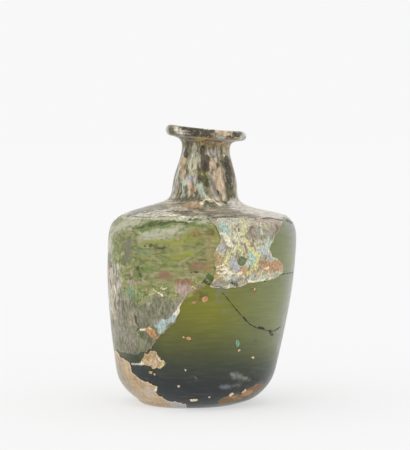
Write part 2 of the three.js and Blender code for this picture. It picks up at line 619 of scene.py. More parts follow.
def grain(tree: bpy.types.NodeTree, size: float, stretch: tuple[float, float, float] = (1, 1, 1),
          detail: float = 3.0, distortion: float = 0.0, shift: float = 0.0) -> bpy.types.NodeSocket:
    """A noise in object space with grains of a real size.

    Args:
        tree: The material's nodes.
        size: Width of a grain in millimetres.
        stretch: How much longer the grain is along each axis.
        detail: How many finer noises are laid on it.
        distortion: How far the grain is twisted.
        shift: Moves the pattern, so that two grains differ.

    Returns:
        The socket with the noise, about 0.5 in the mean.
    """
    place = add_node(tree, "ShaderNodeTexCoord").outputs["Object"]
    scale = tuple(1.0 / axis for axis in stretch)
    moved = add_node(tree, "ShaderNodeMapping", None,
                     {"Vector": place, "Location": (shift, shift, shift), "Scale": scale})
    noise = add_node(tree, "ShaderNodeTexNoise", None, {
        "Vector": moved.outputs["Vector"], "Scale": 0.5 / (size * MM), "Detail": detail,
        "Roughness": 0.6, "Distortion": distortion})
    return noise.outputs["Fac"]


def ramp(tree: bpy.types.NodeTree, share: bpy.types.NodeSocket,
         stops: Sequence[tuple[float, str]]) -> bpy.types.NodeSocket:
    """Turns a value into a colour through stops of sRGB hex colours."""
    node = add_node(tree, "ShaderNodeValToRGB", None, {"Fac": share})
    elements = node.color_ramp.elements
    elements[0].position, elements[0].color = stops[0][0], linear(stops[0][1])
    elements[1].position, elements[1].color = stops[-1][0], linear(stops[-1][1])
    for place, colour in stops[1:-1]:
        element = elements.new(place)
        element.color = linear(colour)
    return node.outputs["Color"]


def rise(tree: bpy.types.NodeTree, value: bpy.types.NodeSocket, start: float, end: float,
         low: float = 0.0, high: float = 1.0) -> bpy.types.NodeSocket:
    """Turns a rise of a value from start to end into a smooth rise from low to high."""
    node = add_node(tree, "ShaderNodeMapRange", {"interpolation_type": "SMOOTHSTEP"}, {
        "Value": value, "From Min": start, "From Max": end, "To Min": low, "To Max": high})
    return node.outputs["Result"]


def blend_colours(tree: bpy.types.NodeTree, share: bpy.types.NodeSocket | float,
                  under: bpy.types.NodeSocket | tuple, over: bpy.types.NodeSocket | tuple,
                  way: str = "MIX") -> bpy.types.NodeSocket:
    """Lays one colour over another by a share."""
    node = add_node(tree, "ShaderNodeMix", {"data_type": "RGBA", "blend_type": way},
                    {0: share, 6: under, 7: over})
    return node.outputs[2]


def sum_of(tree: bpy.types.NodeTree, a: bpy.types.NodeSocket, b: bpy.types.NodeSocket | float,
           times: float = 1.0) -> bpy.types.NodeSocket:
    """One value with a multiple of another added."""
    if isinstance(b, float):
        return add_node(tree, "ShaderNodeMath", {"operation": "ADD"}, {0: a, 1: b}).outputs[0]
    node = add_node(tree, "ShaderNodeMath", {"operation": "MULTIPLY_ADD"}, {0: b, 1: times, 2: a})
    return node.outputs[0]


def blend_values(tree: bpy.types.NodeTree, share: bpy.types.NodeSocket, under: bpy.types.NodeSocket,
                 over: bpy.types.NodeSocket) -> bpy.types.NodeSocket:
    """Lays one value over another by a share."""
    node = add_node(tree, "ShaderNodeMix", {"data_type": "FLOAT"}, {0: share, 2: under, 3: over})
    return node.outputs[0]


def circling_grain(tree: bpy.types.NodeTree, size: float, drawn_out: float = 7.0,
                   radius: float = 25.0) -> bpy.types.NodeSocket:
    """A noise drawn out round the upright axis, as blowing and turning leave it.

    Args:
        tree: The material's nodes.
        size: Width of a grain in millimetres.
        drawn_out: How many times longer than wide a grain is.
        radius: The radius in millimetres where it is that long.

    Returns:
        The socket with the noise, about 0.5 in the mean.
    """
    place = add_node(tree, "ShaderNodeTexCoord").outputs["Object"]
    parts = add_node(tree, "ShaderNodeSeparateXYZ", None, {"Vector": place})
    x, y, z = (parts.outputs[axis] for axis in "XYZ")
    # The turn is measured from the back, so that its seam never shows from the front.
    behind = add_node(tree, "ShaderNodeMath", {"operation": "MULTIPLY"}, {0: y, 1: -1.0}).outputs[0]
    turn = add_node(tree, "ShaderNodeMath", {"operation": "ARCTAN2"}, {0: x, 1: behind}).outputs[0]
    around = add_node(tree, "ShaderNodeMath", {"operation": "MULTIPLY"},
                      {0: turn, 1: radius * MM / drawn_out}).outputs[0]
    level = add_node(tree, "ShaderNodeCombineXYZ", None, {"X": x, "Y": y}).outputs[0]
    outwards = add_node(tree, "ShaderNodeVectorMath", {"operation": "LENGTH"}, {0: level})
    unrolled = add_node(tree, "ShaderNodeCombineXYZ", None,
                        {"X": outwards.outputs["Value"], "Y": around, "Z": z})
    noise = add_node(tree, "ShaderNodeTexNoise", None, {
        "Vector": unrolled.outputs[0], "Scale": 0.5 / (size * MM), "Detail": 4.0,
        "Roughness": 0.6, "Distortion": 0.5})
    return noise.outputs["Fac"]


def film_colour(tree: bpy.types.NodeTree) -> bpy.types.NodeSocket:
    """The brushed greens and browns of the thin film, the same on the glass and on thin crust."""
    brushed = grain(tree, 1.5, stretch=(2.2, 2.2, 1.0), detail=6.0, distortion=1.6, shift=0.2)
    return ramp(tree, rise(tree, brushed, 0.3, 0.7), (
        (0.0, "5f6836"), (0.3, "7d874a"), (0.55, "92945c"), (0.78, "a2956e"), (1.0, "b2aa8b")))


def lay_tints(tree: bpy.types.NodeTree, base: bpy.types.NodeSocket, tints: set[Tint],
              fine: bpy.types.NodeSocket, coarse: bpy.types.NodeSocket,
              grit: bpy.types.NodeSocket, contrast: float) -> bpy.types.NodeSocket:
    """Lays each tint over a colour, its edge broken by noise as flaking weathering is.

    Args:
        tree: The material's nodes.
        base: The colour underneath.
        tints: The tints that the mesh holds.
        fine: Noise of about a millimetre.
        coarse: Noise of a few millimetres.
        grit: Another fine noise, which speckles every tint.
        contrast: How much the grit lightens and darkens the colour.

    Returns:
        The socket with the finished colour.
    """
    colour = base
    even_fine = rise(tree, fine, 0.28, 0.72)
    even_coarse = rise(tree, coarse, 0.3, 0.7)
    breaks = (sum_of(tree, even_fine, even_coarse, 0.35), sum_of(tree, even_coarse, even_fine, 0.35))
    # The noises add up to 0.67 in the mean, so a half-covered place is half tinted.
    break_up = 0.9
    half_tinted = 1.1
    for number, tint in enumerate(Tint):
        if tint not in tints:
            continue
        amount = add_node(tree, "ShaderNodeAttribute", {"attribute_name": tint.layer()}).outputs["Fac"]
        ragged = sum_of(tree, amount, breaks[number % 2], break_up)
        half = 0.05 + 0.4 * tint.softness
        share = rise(tree, ragged, half_tinted - half, half_tinted + half, 0.0, THICKEST_TINT)
        present = rise(tree, amount, LEAST_COVER, 0.35)
        share = add_node(tree, "ShaderNodeMath", {"operation": "MULTIPLY"}, {0: share, 1: present})
        colour = blend_colours(tree, share.outputs[0], colour, linear(tint.colour))
    light_and_dark = rise(tree, grit, 0.32, 0.68, 1.0 - contrast, 1.0 + contrast)
    return add_node(tree, "ShaderNodeVectorMath", {"operation": "SCALE"},
                    {0: colour, "Scale": light_and_dark}).outputs["Vector"]


@dataclass(frozen=True)
class BlownGlassFinish:
    """Free-blown soda-lime glass, green from iron, satin from centuries in the ground.

    The eye sees an olive glow in the middle, where light comes through both walls, a blue-black
    heel, where the glass is thick, and a grey haze where burial has etched it. The glow is painted
    light and the dark heel painted shade, both in the colour up the glass.
    """

    roughness: float = 0.3
    film_roughness: float = 0.55
    ior: float = 1.5
    transmission: float = 0.72
    film_transmission: float = 0.12
    grain_size: float = 0.9
    patch_size: float = 6.0
    scratch_size: float = 0.5
    scratch_stretch: tuple[float, float, float] = (9.0, 9.0, 1.0)
    contrast: float = 0.09
    # Colours up the glass, by the share of a height that is just over the bottle's: painted shade
    # at the heel and a painted glow in the middle.
    ramp_height: float = 130.0
    colours: Sequence[tuple[float, str]] = (
        (0.00, "363e42"), (0.09, "3f4848"), (0.16, "586244"), (0.25, "949838"),
        (0.36, "bfbe24"), (0.50, "bcc03e"), (0.62, "b0bb58"), (0.80, "a4ae66"))
    # The glass is paler to the right of the middle, and greyer where it is scratched.
    paler_between: tuple[float, float] = (2.0, 34.0)
    paler: str = "b9c492"
    scratched: str = "b9b49c"
    sheen: float = 0.34
    sheen_roughness: float = 0.25
    bump_strength: float = 0.25
    bump_depth: float = 0.12

    def material(self, tints: set[Tint]) -> bpy.types.Material:
        """Builds the material.

        Args:
            tints: The tints that the mesh holds.

        Returns:
            The finished material.
        """
        material, tree = new_material("blown_green_glass")
        fine = grain(tree, self.grain_size, detail=4.0)
        coarse = grain(tree, self.patch_size, detail=2.0, shift=0.3)
        drawn = grain(tree, self.scratch_size, self.scratch_stretch, detail=2.0, shift=0.7)
        place = add_node(tree, "ShaderNodeTexCoord").outputs["Object"]
        parts = add_node(tree, "ShaderNodeSeparateXYZ", None, {"Vector": place})
        height = add_node(tree, "ShaderNodeMath", {"operation": "DIVIDE"},
                          {0: parts.outputs["Z"], 1: self.ramp_height * MM}).outputs[0]
        # The bands of colour waver a little, half of it up and half of it down.
        waver = 0.05
        wandering = sum_of(tree, sum_of(tree, height, coarse, waver), -waver / 2)
        # The ramp paints a glow where light comes through both walls, and shade at the heel.
        body = ramp(tree, wandering, self.colours)
        left, right = (side * MM for side in self.paler_between)
        towards_right = rise(tree, parts.outputs["X"], left, right, 0.0, 0.8)
        above_heel = rise(tree, height, 0.1, 0.3)
        towards_right = add_node(tree, "ShaderNodeMath", {"operation": "MULTIPLY"},
                                 {0: towards_right, 1: above_heel}).outputs[0]
        body = blend_colours(tree, towards_right, body, linear(self.paler))
        scratches = rise(tree, drawn, 0.5, 0.75, 0.0, 0.14)
        body = blend_colours(tree, scratches, body, linear(self.scratched))
        film = add_node(tree, "ShaderNodeAttribute", {"attribute_name": "film"}).outputs["Fac"]
        ragged_film = rise(tree, sum_of(tree, sum_of(tree, film, fine, 0.5), coarse, 0.5), 0.6, 1.3)
        body = blend_colours(tree, ragged_film, body, film_colour(tree))
        colour = lay_tints(tree, body, tints, fine, coarse, drawn, self.contrast)
        passes = rise(tree, ragged_film, 0.0, 1.0, self.transmission, self.film_transmission)
        rough = rise(tree, ragged_film, 0.0, 1.0, self.roughness, self.film_roughness)
        bump = add_node(tree, "ShaderNodeBump", None, {
            "Strength": self.bump_strength, "Distance": self.bump_depth * MM, "Height": fine})
        shader = add_node(tree, "ShaderNodeBsdfPrincipled", None, {
            "Base Color": colour, "Roughness": rough, "IOR": self.ior,
            "Transmission Weight": passes, "Sheen Weight": self.sheen,
            "Sheen Roughness": self.sheen_roughness, "Sheen Tint": linear("f4f4ee"),
            "Normal": bump.outputs["Normal"]})
        add_node(tree, "ShaderNodeOutputMaterial", None, {"Surface": shader.outputs["BSDF"]})
        return material


@dataclass(frozen=True)
class CrustFinish:
    """Burial crust: leached silica layers with soil in them, matt, scaly and opaque.

    The eye sees mottled grey, beige and brown with fine scratches, a broken edge that is pale
    where the layers end, with a painted highlight where light catches their step, and a pearly
    sheen where they are thin.
    """

    name: str
    light: str
    middle: str
    dark: str
    scale_size: float = 1.1
    patch_size: float = 5.0
    speck_size: float = 0.45
    pearl_size: float = 2.4
    stretch: tuple[float, float, float] = (1.0, 1.0, 2.5)
    roughness: float = 0.62
    ior: float = 1.46
    coat: float = 0.0
    coat_roughness: float = 0.35
    sheen: float = 0.7
    sheen_roughness: float = 0.32
    contrast: float = 1.0
    # The pale rim along the broken edge is partly pale layers and partly a painted highlight where light
    # catches the step.
    rim: str = "d9ccb0"
    rim_width: float = 0.35
    rim_and_highlight_share: float = 0.55
    pearl: float = 0.0
    pearl_colours: Sequence[tuple[float, str]] = (
        (0.0, "c8a27a"), (0.2, "b9b1b8"), (0.4, "a9ccc2"), (0.58, "dfe3b2"),
        (0.75, "e8dfb0"), (0.88, "cfae86"), (1.0, "a8c6c8"))
    speck: str = "e6dcc6"
    pit: str = "4a4034"
    shade: float = 0.3
    upright: tuple[float, float] | None = None
    bump_strength: float = 0.7
    bump_depth: float = 0.25

    def upright_share(self, tree: bpy.types.NodeTree) -> bpy.types.NodeSocket:
        """How far the scratches run upright: wholly in the neck, and not on the shoulder or lip."""
        low, high = self.upright
        place = add_node(tree, "ShaderNodeTexCoord").outputs["Object"]
        height = add_node(tree, "ShaderNodeSeparateXYZ", None, {"Vector": place}).outputs["Z"]
        above = rise(tree, height, (low - 4.0) * MM, low * MM)
        below = rise(tree, height, (high + 2.0) * MM, high * MM)
        return add_node(tree, "ShaderNodeMath", {"operation": "MULTIPLY"},
                        {0: above, 1: below}).outputs[0]

    def material(self, tints: set[Tint]) -> bpy.types.Material:
        """Builds the material.

        Args:
            tints: The tints that the mesh holds.

        Returns:
            The finished material.
        """
        material, tree = new_material(self.name)
        fine = grain(tree, self.scale_size, self.stretch, detail=4.0, distortion=0.6)
        if self.upright:
            fine = blend_values(tree, self.upright_share(tree), circling_grain(tree, 0.8), fine)
        coarse = grain(tree, self.patch_size, detail=3.0, distortion=0.4, shift=0.4)
        speck = grain(tree, self.speck_size, detail=1.0, shift=0.9)
        # Patches are mixed with the grain, and half their share comes off to keep the mean.
        patches = 0.8
        mixed = sum_of(tree, sum_of(tree, fine, coarse, patches), -patches / 2)
        half = 0.28 / self.contrast
        shade = rise(tree, mixed, 0.5 - half, 0.5 + half)
        base = ramp(tree, shade, ((0.0, self.dark), (0.45, self.middle), (1.0, self.light)))
        if self.pearl:
            # Films of different thickness shine in different colours, each a few millimetres wide.
            film = grain(tree, self.pearl_size, (1.0, 1.0, 1.8), detail=4.0, distortion=1.5, shift=1.3)
            rainbow = ramp(tree, rise(tree, film, 0.32, 0.68), self.pearl_colours)
            bright = rise(tree, shade, 0.1, 0.7, 0.1, self.pearl)
            base = blend_colours(tree, bright, base, rainbow)
        thin = add_node(tree, "ShaderNodeAttribute", {"attribute_name": "thin"}).outputs["Fac"]
        worn = rise(tree, sum_of(tree, thin, coarse, 0.7), 0.45, 1.15)
        base = blend_colours(tree, worn, base, film_colour(tree))
        grit = grain(tree, self.scale_size * 0.6, self.stretch, detail=3.0, shift=1.7)
        colour = lay_tints(tree, base, tints, fine, coarse, grit, self.shade)
        specks = rise(tree, speck, 0.66, 0.72, 0.0, 0.25)
        colour = blend_colours(tree, specks, colour, linear(self.speck), "SCREEN")
        pits = rise(tree, speck, 0.34, 0.27, 0.0, 0.55)
        colour = blend_colours(tree, pits, colour, linear(self.pit), "MULTIPLY")
        edge = add_node(tree, "ShaderNodeAttribute", {"attribute_name": "from_edge"}).outputs["Fac"]
        wobbly = sum_of(tree, edge, fine, 0.5)
        # Paints the pale rim and its highlight along the broken edge.
        pale_rim_and_highlight = rise(tree, wobbly, self.rim_width + 0.5, self.rim_width, 0.0, self.rim_and_highlight_share)
        colour = blend_colours(tree, pale_rim_and_highlight, colour, linear(self.rim))
        rough = rise(tree, fine, 0.3, 0.7, self.roughness - 0.12, self.roughness + 0.12)
        relief = sum_of(tree, fine, coarse, patches)
        bump = add_node(tree, "ShaderNodeBump", None, {
            "Strength": self.bump_strength, "Distance": self.bump_depth * MM, "Height": relief})
        shader = add_node(tree, "ShaderNodeBsdfPrincipled", None, {
            "Base Color": colour, "Roughness": rough, "IOR": self.ior,
            "Coat Weight": self.coat, "Coat Roughness": self.coat_roughness,
            "Sheen Weight": self.sheen, "Sheen Roughness": self.sheen_roughness,
            "Sheen Tint": linear("f6f2ea"), "Normal": bump.outputs["Normal"]})
        add_node(tree, "ShaderNodeOutputMaterial", None, {"Surface": shader.outputs["BSDF"]})
        return material


@dataclass
class GlassVessel:
    """The blown glass itself: one closed skin, spun from its section and bent out of true."""

    outer_step: float = 0.66
    inner_step: float = 3.0
    sides: int = 320
    stains_and_sheen: Sequence[Mark] = ()
    films: Sequence[Mark] = ()
    skin_depth: float = 0.6
    film_behind: float = 0.8

    def spin(self) -> bpy.types.Object:
        """Turns the section round the axis.

        Returns:
            The round, upright vessel.
        """
        section = FORM.section(self.outer_step, self.inner_step)
        deselect_all()
        bpy.ops.mesh.primitive_circle_add(vertices=len(section), radius=FORM.mouth_radius * MM)
        vessel = bpy.context.object
        vessel.name = vessel.data.name = "blown_glass"
        round_points = np.zeros((len(section), 3))
        round_points[:, (0, 2)] = section
        set_points(vessel.data, round_points)
        last = len(section) - 1
        bpy.context.tool_settings.mesh_select_mode = (False, True, False)
        for vertex in vessel.data.vertices:
            vertex.select = False
        for edge in vessel.data.edges:
            edge.select = set(edge.vertices) == {0, last}
        bpy.ops.object.mode_set(mode="EDIT")
        bpy.ops.mesh.delete(type="EDGE_FACE")
        bpy.ops.mesh.select_mode(type="VERT")
        bpy.ops.mesh.select_all(action="SELECT")
        bpy.ops.mesh.spin(steps=self.sides, angle=math.tau, center=(0, 0, 0), axis=(0, 0, 1))
        bpy.ops.mesh.select_all(action="SELECT")
        bpy.ops.mesh.remove_doubles(threshold=WELD)
        bpy.ops.mesh.normals_make_consistent(inside=False)
        bpy.ops.object.mode_set(mode="OBJECT")
        return vessel

    def dress(self, vessel: bpy.types.Object) -> None:
        """Bends the vessel out of true and gives it its marks, of weathering and of painted sheen, and
        its material.
        """
        mesh = vessel.data
        round_points = points_of(mesh)
        skin = SkinPoints.of_round(round_points, vectors_of(mesh.vertex_normals, "vector"))
        radius = np.hypot(round_points[:, 0], round_points[:, 1])
        nearest = np.full(len(radius), np.inf)
        for out, up in FORM.outside(0.5):
            nearest = np.minimum(nearest, np.hypot(radius - out, skin.height - up))
        on_outside = nearest < self.skin_depth
        skin.facing = skin.facing * on_outside
        set_points(mesh, skin.points)
        tints = write_tints(mesh, skin, self.stains_and_sheen)
        # Behind, the film lies under the patches of crust and some way round them.
        behind = smooth_between(-6.0, 0.5, patches_behind(skin)) * (1.0 - skin.facing)
        film = self.film_behind * behind * on_outside
        for mark in self.films:
            film = np.maximum(film, mark.weight(skin))
        write_layer(mesh, "film", film)
        mesh.materials.clear()
        mesh.materials.append(BlownGlassFinish().material(tints))
        bpy.ops.object.shade_smooth()

    def build(self) -> bpy.types.Object:
        """Makes the vessel and has it stand for the plain solid."""
        vessel = self.spin()
        self.dress(vessel)
        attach(vessel, "root")
        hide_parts(NODE)
        return vessel


@dataclass
class Crust:
    """A thin scaly skin on the glass, with a ragged edge: a closed shell of its own."""

    name: str
    finish: CrustFinish
    reach: Callable[[SkinPoints], np.ndarray]
    turns: tuple[float, float] = (90.0, 450.0)
    heights: tuple[float, float | None] = (1.0, 84.0)
    spacing: float = 0.6
    lift: float = 0.04
    thickness: float = 0.22
    ragged: float = 0.6
    ragged_size: float = 2.2
    marks: Sequence[Mark] = ()
    seed: int = 1
    thinning: Callable[[SkinPoints], np.ndarray] | None = None
    thinnest: float = 0.12
    path_step: float = 0.25
    sharp_angle: float = 50.0

    def path(self) -> tuple[np.ndarray, np.ndarray]:
        """The glass's outline, and how far along it each of its points lies."""
        path = FORM.outside(self.path_step)
        steps = np.hypot(*np.diff(path, axis=0).T)
        return path, np.concatenate([[0.0], np.cumsum(steps)])

    def wrap(self, turn: np.ndarray, along: np.ndarray) -> SkinPoints:
        """Lays places of the flat sheet on the glass.

        Args:
            turn: Turns round the axis in degrees.
            along: Distances along the outside in millimetres.

        Returns:
            The points on the bottle, a little off the glass.
        """
        path, travelled = self.path()
        heading = np.gradient(path, axis=0)
        heading /= np.linalg.norm(heading, axis=1)[:, None]
        radius, height, out, up = (
            np.interp(along, travelled, values)
            for values in (path[:, 0], path[:, 1], heading[:, 1], -heading[:, 0]))
        angle = np.radians(turn)
        radius = radius + out * self.lift
        height = height + up * self.lift
        round_points = np.stack([radius * np.cos(angle), radius * np.sin(angle), height], axis=1)
        normals = np.stack([out * np.cos(angle), out * np.sin(angle), up], axis=1)
        return SkinPoints.of_round(round_points, normals)

    def travel(self) -> tuple[float, float]:
        """The crust's heights as distances along the outside; no upper height means the mouth."""
        path, travelled = self.path()
        highest = int(path[:, 1].argmax())
        low, high = (
            float(travelled[-1]) if height is None
            else float(np.interp(height, path[:highest, 1], travelled[:highest]))
            for height in self.heights)
        return low, high

    def edge_depth(self, skin: SkinPoints) -> np.ndarray:
        """How far each point lies inside the ragged edge, in millimetres."""
        finer = self.ragged_size / 2.7
        rough = lumps(skin.points, self.ragged_size, self.seed)
        rough += 0.5 * lumps(skin.points, finer, self.seed + 5)
        return self.reach(skin) + rough * self.ragged

    def build(self) -> bpy.types.Object:
        """Cuts the sheet to its ragged outline, wraps it on the glass and thickens it."""
        start, end = self.travel()
        widest = math.radians(self.turns[1] - self.turns[0]) * FORM.widest.radius
        columns = max(int(widest / self.spacing), 4)
        rows = max(int((end - start) / self.spacing), 4)
        deselect_all()
        bpy.ops.mesh.primitive_grid_add(x_subdivisions=columns, y_subdivisions=rows, size=1.0)
        piece = bpy.context.object
        piece.name = piece.data.name = self.name
        mesh = piece.data
        flat = points_of(mesh)[:, :2] * MM + 0.5
        turn = self.turns[0] + flat[:, 0] * (self.turns[1] - self.turns[0])
        along = start + flat[:, 1] * (end - start)
        depth = self.edge_depth(self.wrap(turn, along))
        corners = np.empty(len(mesh.loops), np.int32)
        mesh.loops.foreach_get("vertex_index", corners)
        corners = corners.reshape(-1, 4)
        kept = depth[corners].mean(axis=1) > 0.0
        turn, along = self.snap(turn, along, depth, corners, kept)
        skin = self.wrap(turn, along)
        set_points(mesh, skin.points)
        thin = self.thinning(skin) if self.thinning else np.zeros(len(turn))
        # Where the crust thins out, it counts as far from its edge, so that it has no pale rim and no
        # painted edge highlight there.
        rimless = 3.0 * thin
        write_layer(mesh, "thin", thin)
        write_layer(mesh, "from_edge", np.maximum(self.edge_depth(skin), 0.0) + rimless)
        tints = write_tints(mesh, skin, self.marks)
        self.note_thickness(piece, thin)
        self.trim(mesh, kept)
        self.thicken(piece)
        mesh.materials.clear()
        mesh.materials.append(self.finish.material(tints))
        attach(piece, "root")
        return piece

    def note_thickness(self, piece: bpy.types.Object, thin: np.ndarray) -> None:
        """Notes by tenths how thick the crust is to be at each point."""
        cover = piece.vertex_groups.new(name="cover")
        tenths = np.round(thin, 1)
        for tenth in np.unique(tenths):
            cover.add(np.flatnonzero(tenths == tenth).tolist(), float(1.0 - tenth), "REPLACE")

    def snap(self, turn: np.ndarray, along: np.ndarray, depth: np.ndarray, corners: np.ndarray,
             kept: np.ndarray) -> tuple[np.ndarray, np.ndarray]:
        """Moves the points round the cut on to the true edge.

        Args:
            turn: Turns of the sheet's points.
            along: Distances of the points along the outside.
            depth: Depth of each point inside the edge.
            corners: The four points of each face.
            kept: Which faces are kept.

        Returns:
            The moved turns and distances.
        """
        near_kept = np.zeros(len(turn), bool)
        near_cut = np.zeros(len(turn), bool)
        near_kept[corners[kept].ravel()] = True
        near_cut[corners[~kept].ravel()] = True
        on_cut = near_kept & near_cut
        # A small nudge each way shows how the depth changes. A level stretch has no edge near it,
        # and no point moves as far as its neighbour.
        nudge = 0.15
        level = 0.05
        limit = 0.7 * self.spacing
        widest = FORM.widest.radius
        turn_step = math.degrees(nudge / widest)
        spot_turn, spot_along = turn[on_cut], along[on_cut]
        for _ in range(2):
            here = self.edge_depth(self.wrap(spot_turn, spot_along))
            by_turn = (self.edge_depth(self.wrap(spot_turn + turn_step, spot_along)) - here) / nudge
            by_along = (self.edge_depth(self.wrap(spot_turn, spot_along + nudge)) - here) / nudge
            steep = np.maximum(by_turn ** 2 + by_along ** 2, level)
            spot_turn = spot_turn - np.degrees(np.clip(here * by_turn / steep, -limit, limit) / widest)
            spot_along = spot_along - np.clip(here * by_along / steep, -limit, limit)
        turn, along = turn.copy(), along.copy()
        turn[on_cut], along[on_cut] = spot_turn, spot_along
        return turn, along

    def trim(self, mesh: bpy.types.Mesh, kept: np.ndarray) -> None:
        """Deletes the faces outside the edge and joins the sheet where it meets itself."""
        bpy.context.tool_settings.mesh_select_mode = (False, False, True)
        mesh.vertices.foreach_set("select", np.zeros(len(mesh.vertices), bool))
        mesh.edges.foreach_set("select", np.zeros(len(mesh.edges), bool))
        mesh.polygons.foreach_set("select", ~kept)
        bpy.ops.object.mode_set(mode="EDIT")
        bpy.ops.mesh.delete(type="FACE")
        bpy.ops.mesh.select_mode(type="VERT")
        bpy.ops.mesh.select_all(action="SELECT")
        bpy.ops.mesh.remove_doubles(threshold=WELD)
        bpy.ops.object.mode_set(mode="OBJECT")

    def thicken(self, piece: bpy.types.Object) -> None:
        """Gives the sheet its thickness, outwards, and less of it where it thins."""
        solid = piece.modifiers.new("thickness", "SOLIDIFY")
        solid.thickness = self.thickness * MM
        solid.offset = 1.0
        solid.use_rim = True
        solid.vertex_group = "cover"
        solid.thickness_vertex_group = self.thinnest
        bpy.ops.object.modifier_apply(modifier=solid.name)
        bpy.ops.object.shade_smooth_by_angle(angle=math.radians(self.sharp_angle))


@dataclass(frozen=True)
class Studio:
    """A plain setting: a white room, a pale floor and one wide soft lamp from the upper left."""

    floor_radius: float = 30_000.0
    floor_sides: int = 96
    board: tuple[float, float, float, float] = (0.38, 0.38, 0.38, 1.0)
    board_glow: float = 0.558
    room_light: float = 0.94
    lamp_light: float = 0.35
    lamp_spread: float = 70.0
    lamp_heading: tuple[float, float, float] = (0.6, 1.0, -1.1)

    def add_floor(self) -> None:
        """A wide pale floor that is as bright as the background, with a soft contact shadow."""
        deselect_all()
        bpy.ops.mesh.primitive_circle_add(vertices=self.floor_sides, radius=self.floor_radius * MM,
                                          fill_type="NGON")
        floor = bpy.context.object
        floor.name = floor.data.name = "pale_floor"
        material, tree = new_material("matt_white_board")
        board = add_node(tree, "ShaderNodeBsdfDiffuse", None, {"Color": self.board})
        glow = add_node(tree, "ShaderNodeEmission", None,
                        {"Color": WHITE, "Strength": self.board_glow})
        both = add_node(tree, "ShaderNodeAddShader", None,
                        {0: board.outputs["BSDF"], 1: glow.outputs["Emission"]})
        add_node(tree, "ShaderNodeOutputMaterial", None, {"Surface": both.outputs["Shader"]})
        floor.data.materials.append(material)

    def add_light(self) -> None:
        """The white room's even light, and the lamp."""
        world = bpy.data.worlds.new("white_room")
        world.use_nodes = True
        world.node_tree.nodes.clear()
        room = add_node(world.node_tree, "ShaderNodeBackground", None,
                        {"Color": WHITE, "Strength": self.room_light})
        add_node(world.node_tree, "ShaderNodeOutputWorld", None,
                 {"Surface": room.outputs["Background"]})
        scene = bpy.context.scene
        scene.world = world
        scene.view_settings.view_transform = "Standard"
        lamp = bpy.data.lights.new("soft_lamp", "SUN")
        lamp.energy = self.lamp_light
        lamp.angle = math.radians(self.lamp_spread)
        holder = bpy.data.objects.new("soft_lamp", lamp)
        holder.rotation_euler = Vector(self.lamp_heading).to_track_quat("-Z", "Y").to_euler()
        scene.collection.objects.link(holder)


# Outlines on the front, by the photograph's pixels.
CRUST_TOP = (
    (116, 238), (124, 252), (131, 262), (134, 276), (142, 288), (152, 285), (163, 284), (176, 277),
)
DENSE_CRUST = (
    (90, 236), *CRUST_TOP, (190, 280), (200, 284), (197, 291), (186, 296), (180, 307), (179, 314),
    (175, 322), (167, 330), (160, 335), (157, 340), (153, 344), (152, 348), (146, 351), (136, 355),
    (128, 353), (118, 350), (90, 352),
)
CRUST_FADES = ((90, 232), *CRUST_TOP, (188, 278))
TAN_CRUST = (
    (90, 350), (116, 350), (121, 357), (128, 362), (131, 367), (133, 372), (139, 378), (143, 381),
    (152, 384), (158, 387), (156, 392), (159, 396), (166, 400), (176, 402), (186, 404), (187, 412),
    (90, 420),
)
IRIDESCENT_PATCH = (
    (207, 219), (215, 216), (230, 216), (246, 219), (262, 220), (275, 220), (282, 222), (279, 230),
    (272, 241), (269, 249), (272, 257), (279, 259.5), (283, 267), (282.5, 272.5), (276.5, 277.5),
    (267, 280.3), (255, 282.4), (249, 282.4), (246, 284.5), (237, 287), (227, 288.5), (216, 287.4),
    (210, 286.4), (214, 278), (216, 271), (215, 262), (213, 254), (218, 246), (221, 239), (217, 228),
    (211, 221),
)
UPPER_LEFT_FILM = (
    (95, 205), (205, 210), (225, 240), (218, 274), (206, 284), (196, 293), (176, 303), (150, 320),
    (95, 322),
)
WORN_HEEL = ((222, 402.5), (236, 398), (250, 392), (261, 386))
UPPER_CLOUD = ((234, 375), (248, 379))
LOWER_CLOUD = ((222, 388), (240, 384))
# Columns between which the neck's crust, that fades into the film on the left, gains the full
# edge that it has beside the patch, and rows between which the dense crust's edge turns ragged.
FULL_EDGE_COLUMNS = (190.0, 215.0)
RAGGED_EDGE_ROWS = (302.0, 286.0)
# How many pixels the dense crust takes to fade from its upper edge, outermost first.
CRUST_FADE_WIDTHS = (24.0, 9.0)
# Height of the shoulder's edge, where the neck's crust ends.
SHOULDER_EDGE = 84.9
# How far outside its outline, in millimetres, a crust or a line counts where the front is hidden.
CRUST_HIDDEN = 12.0
LINE_HIDDEN = 20.0

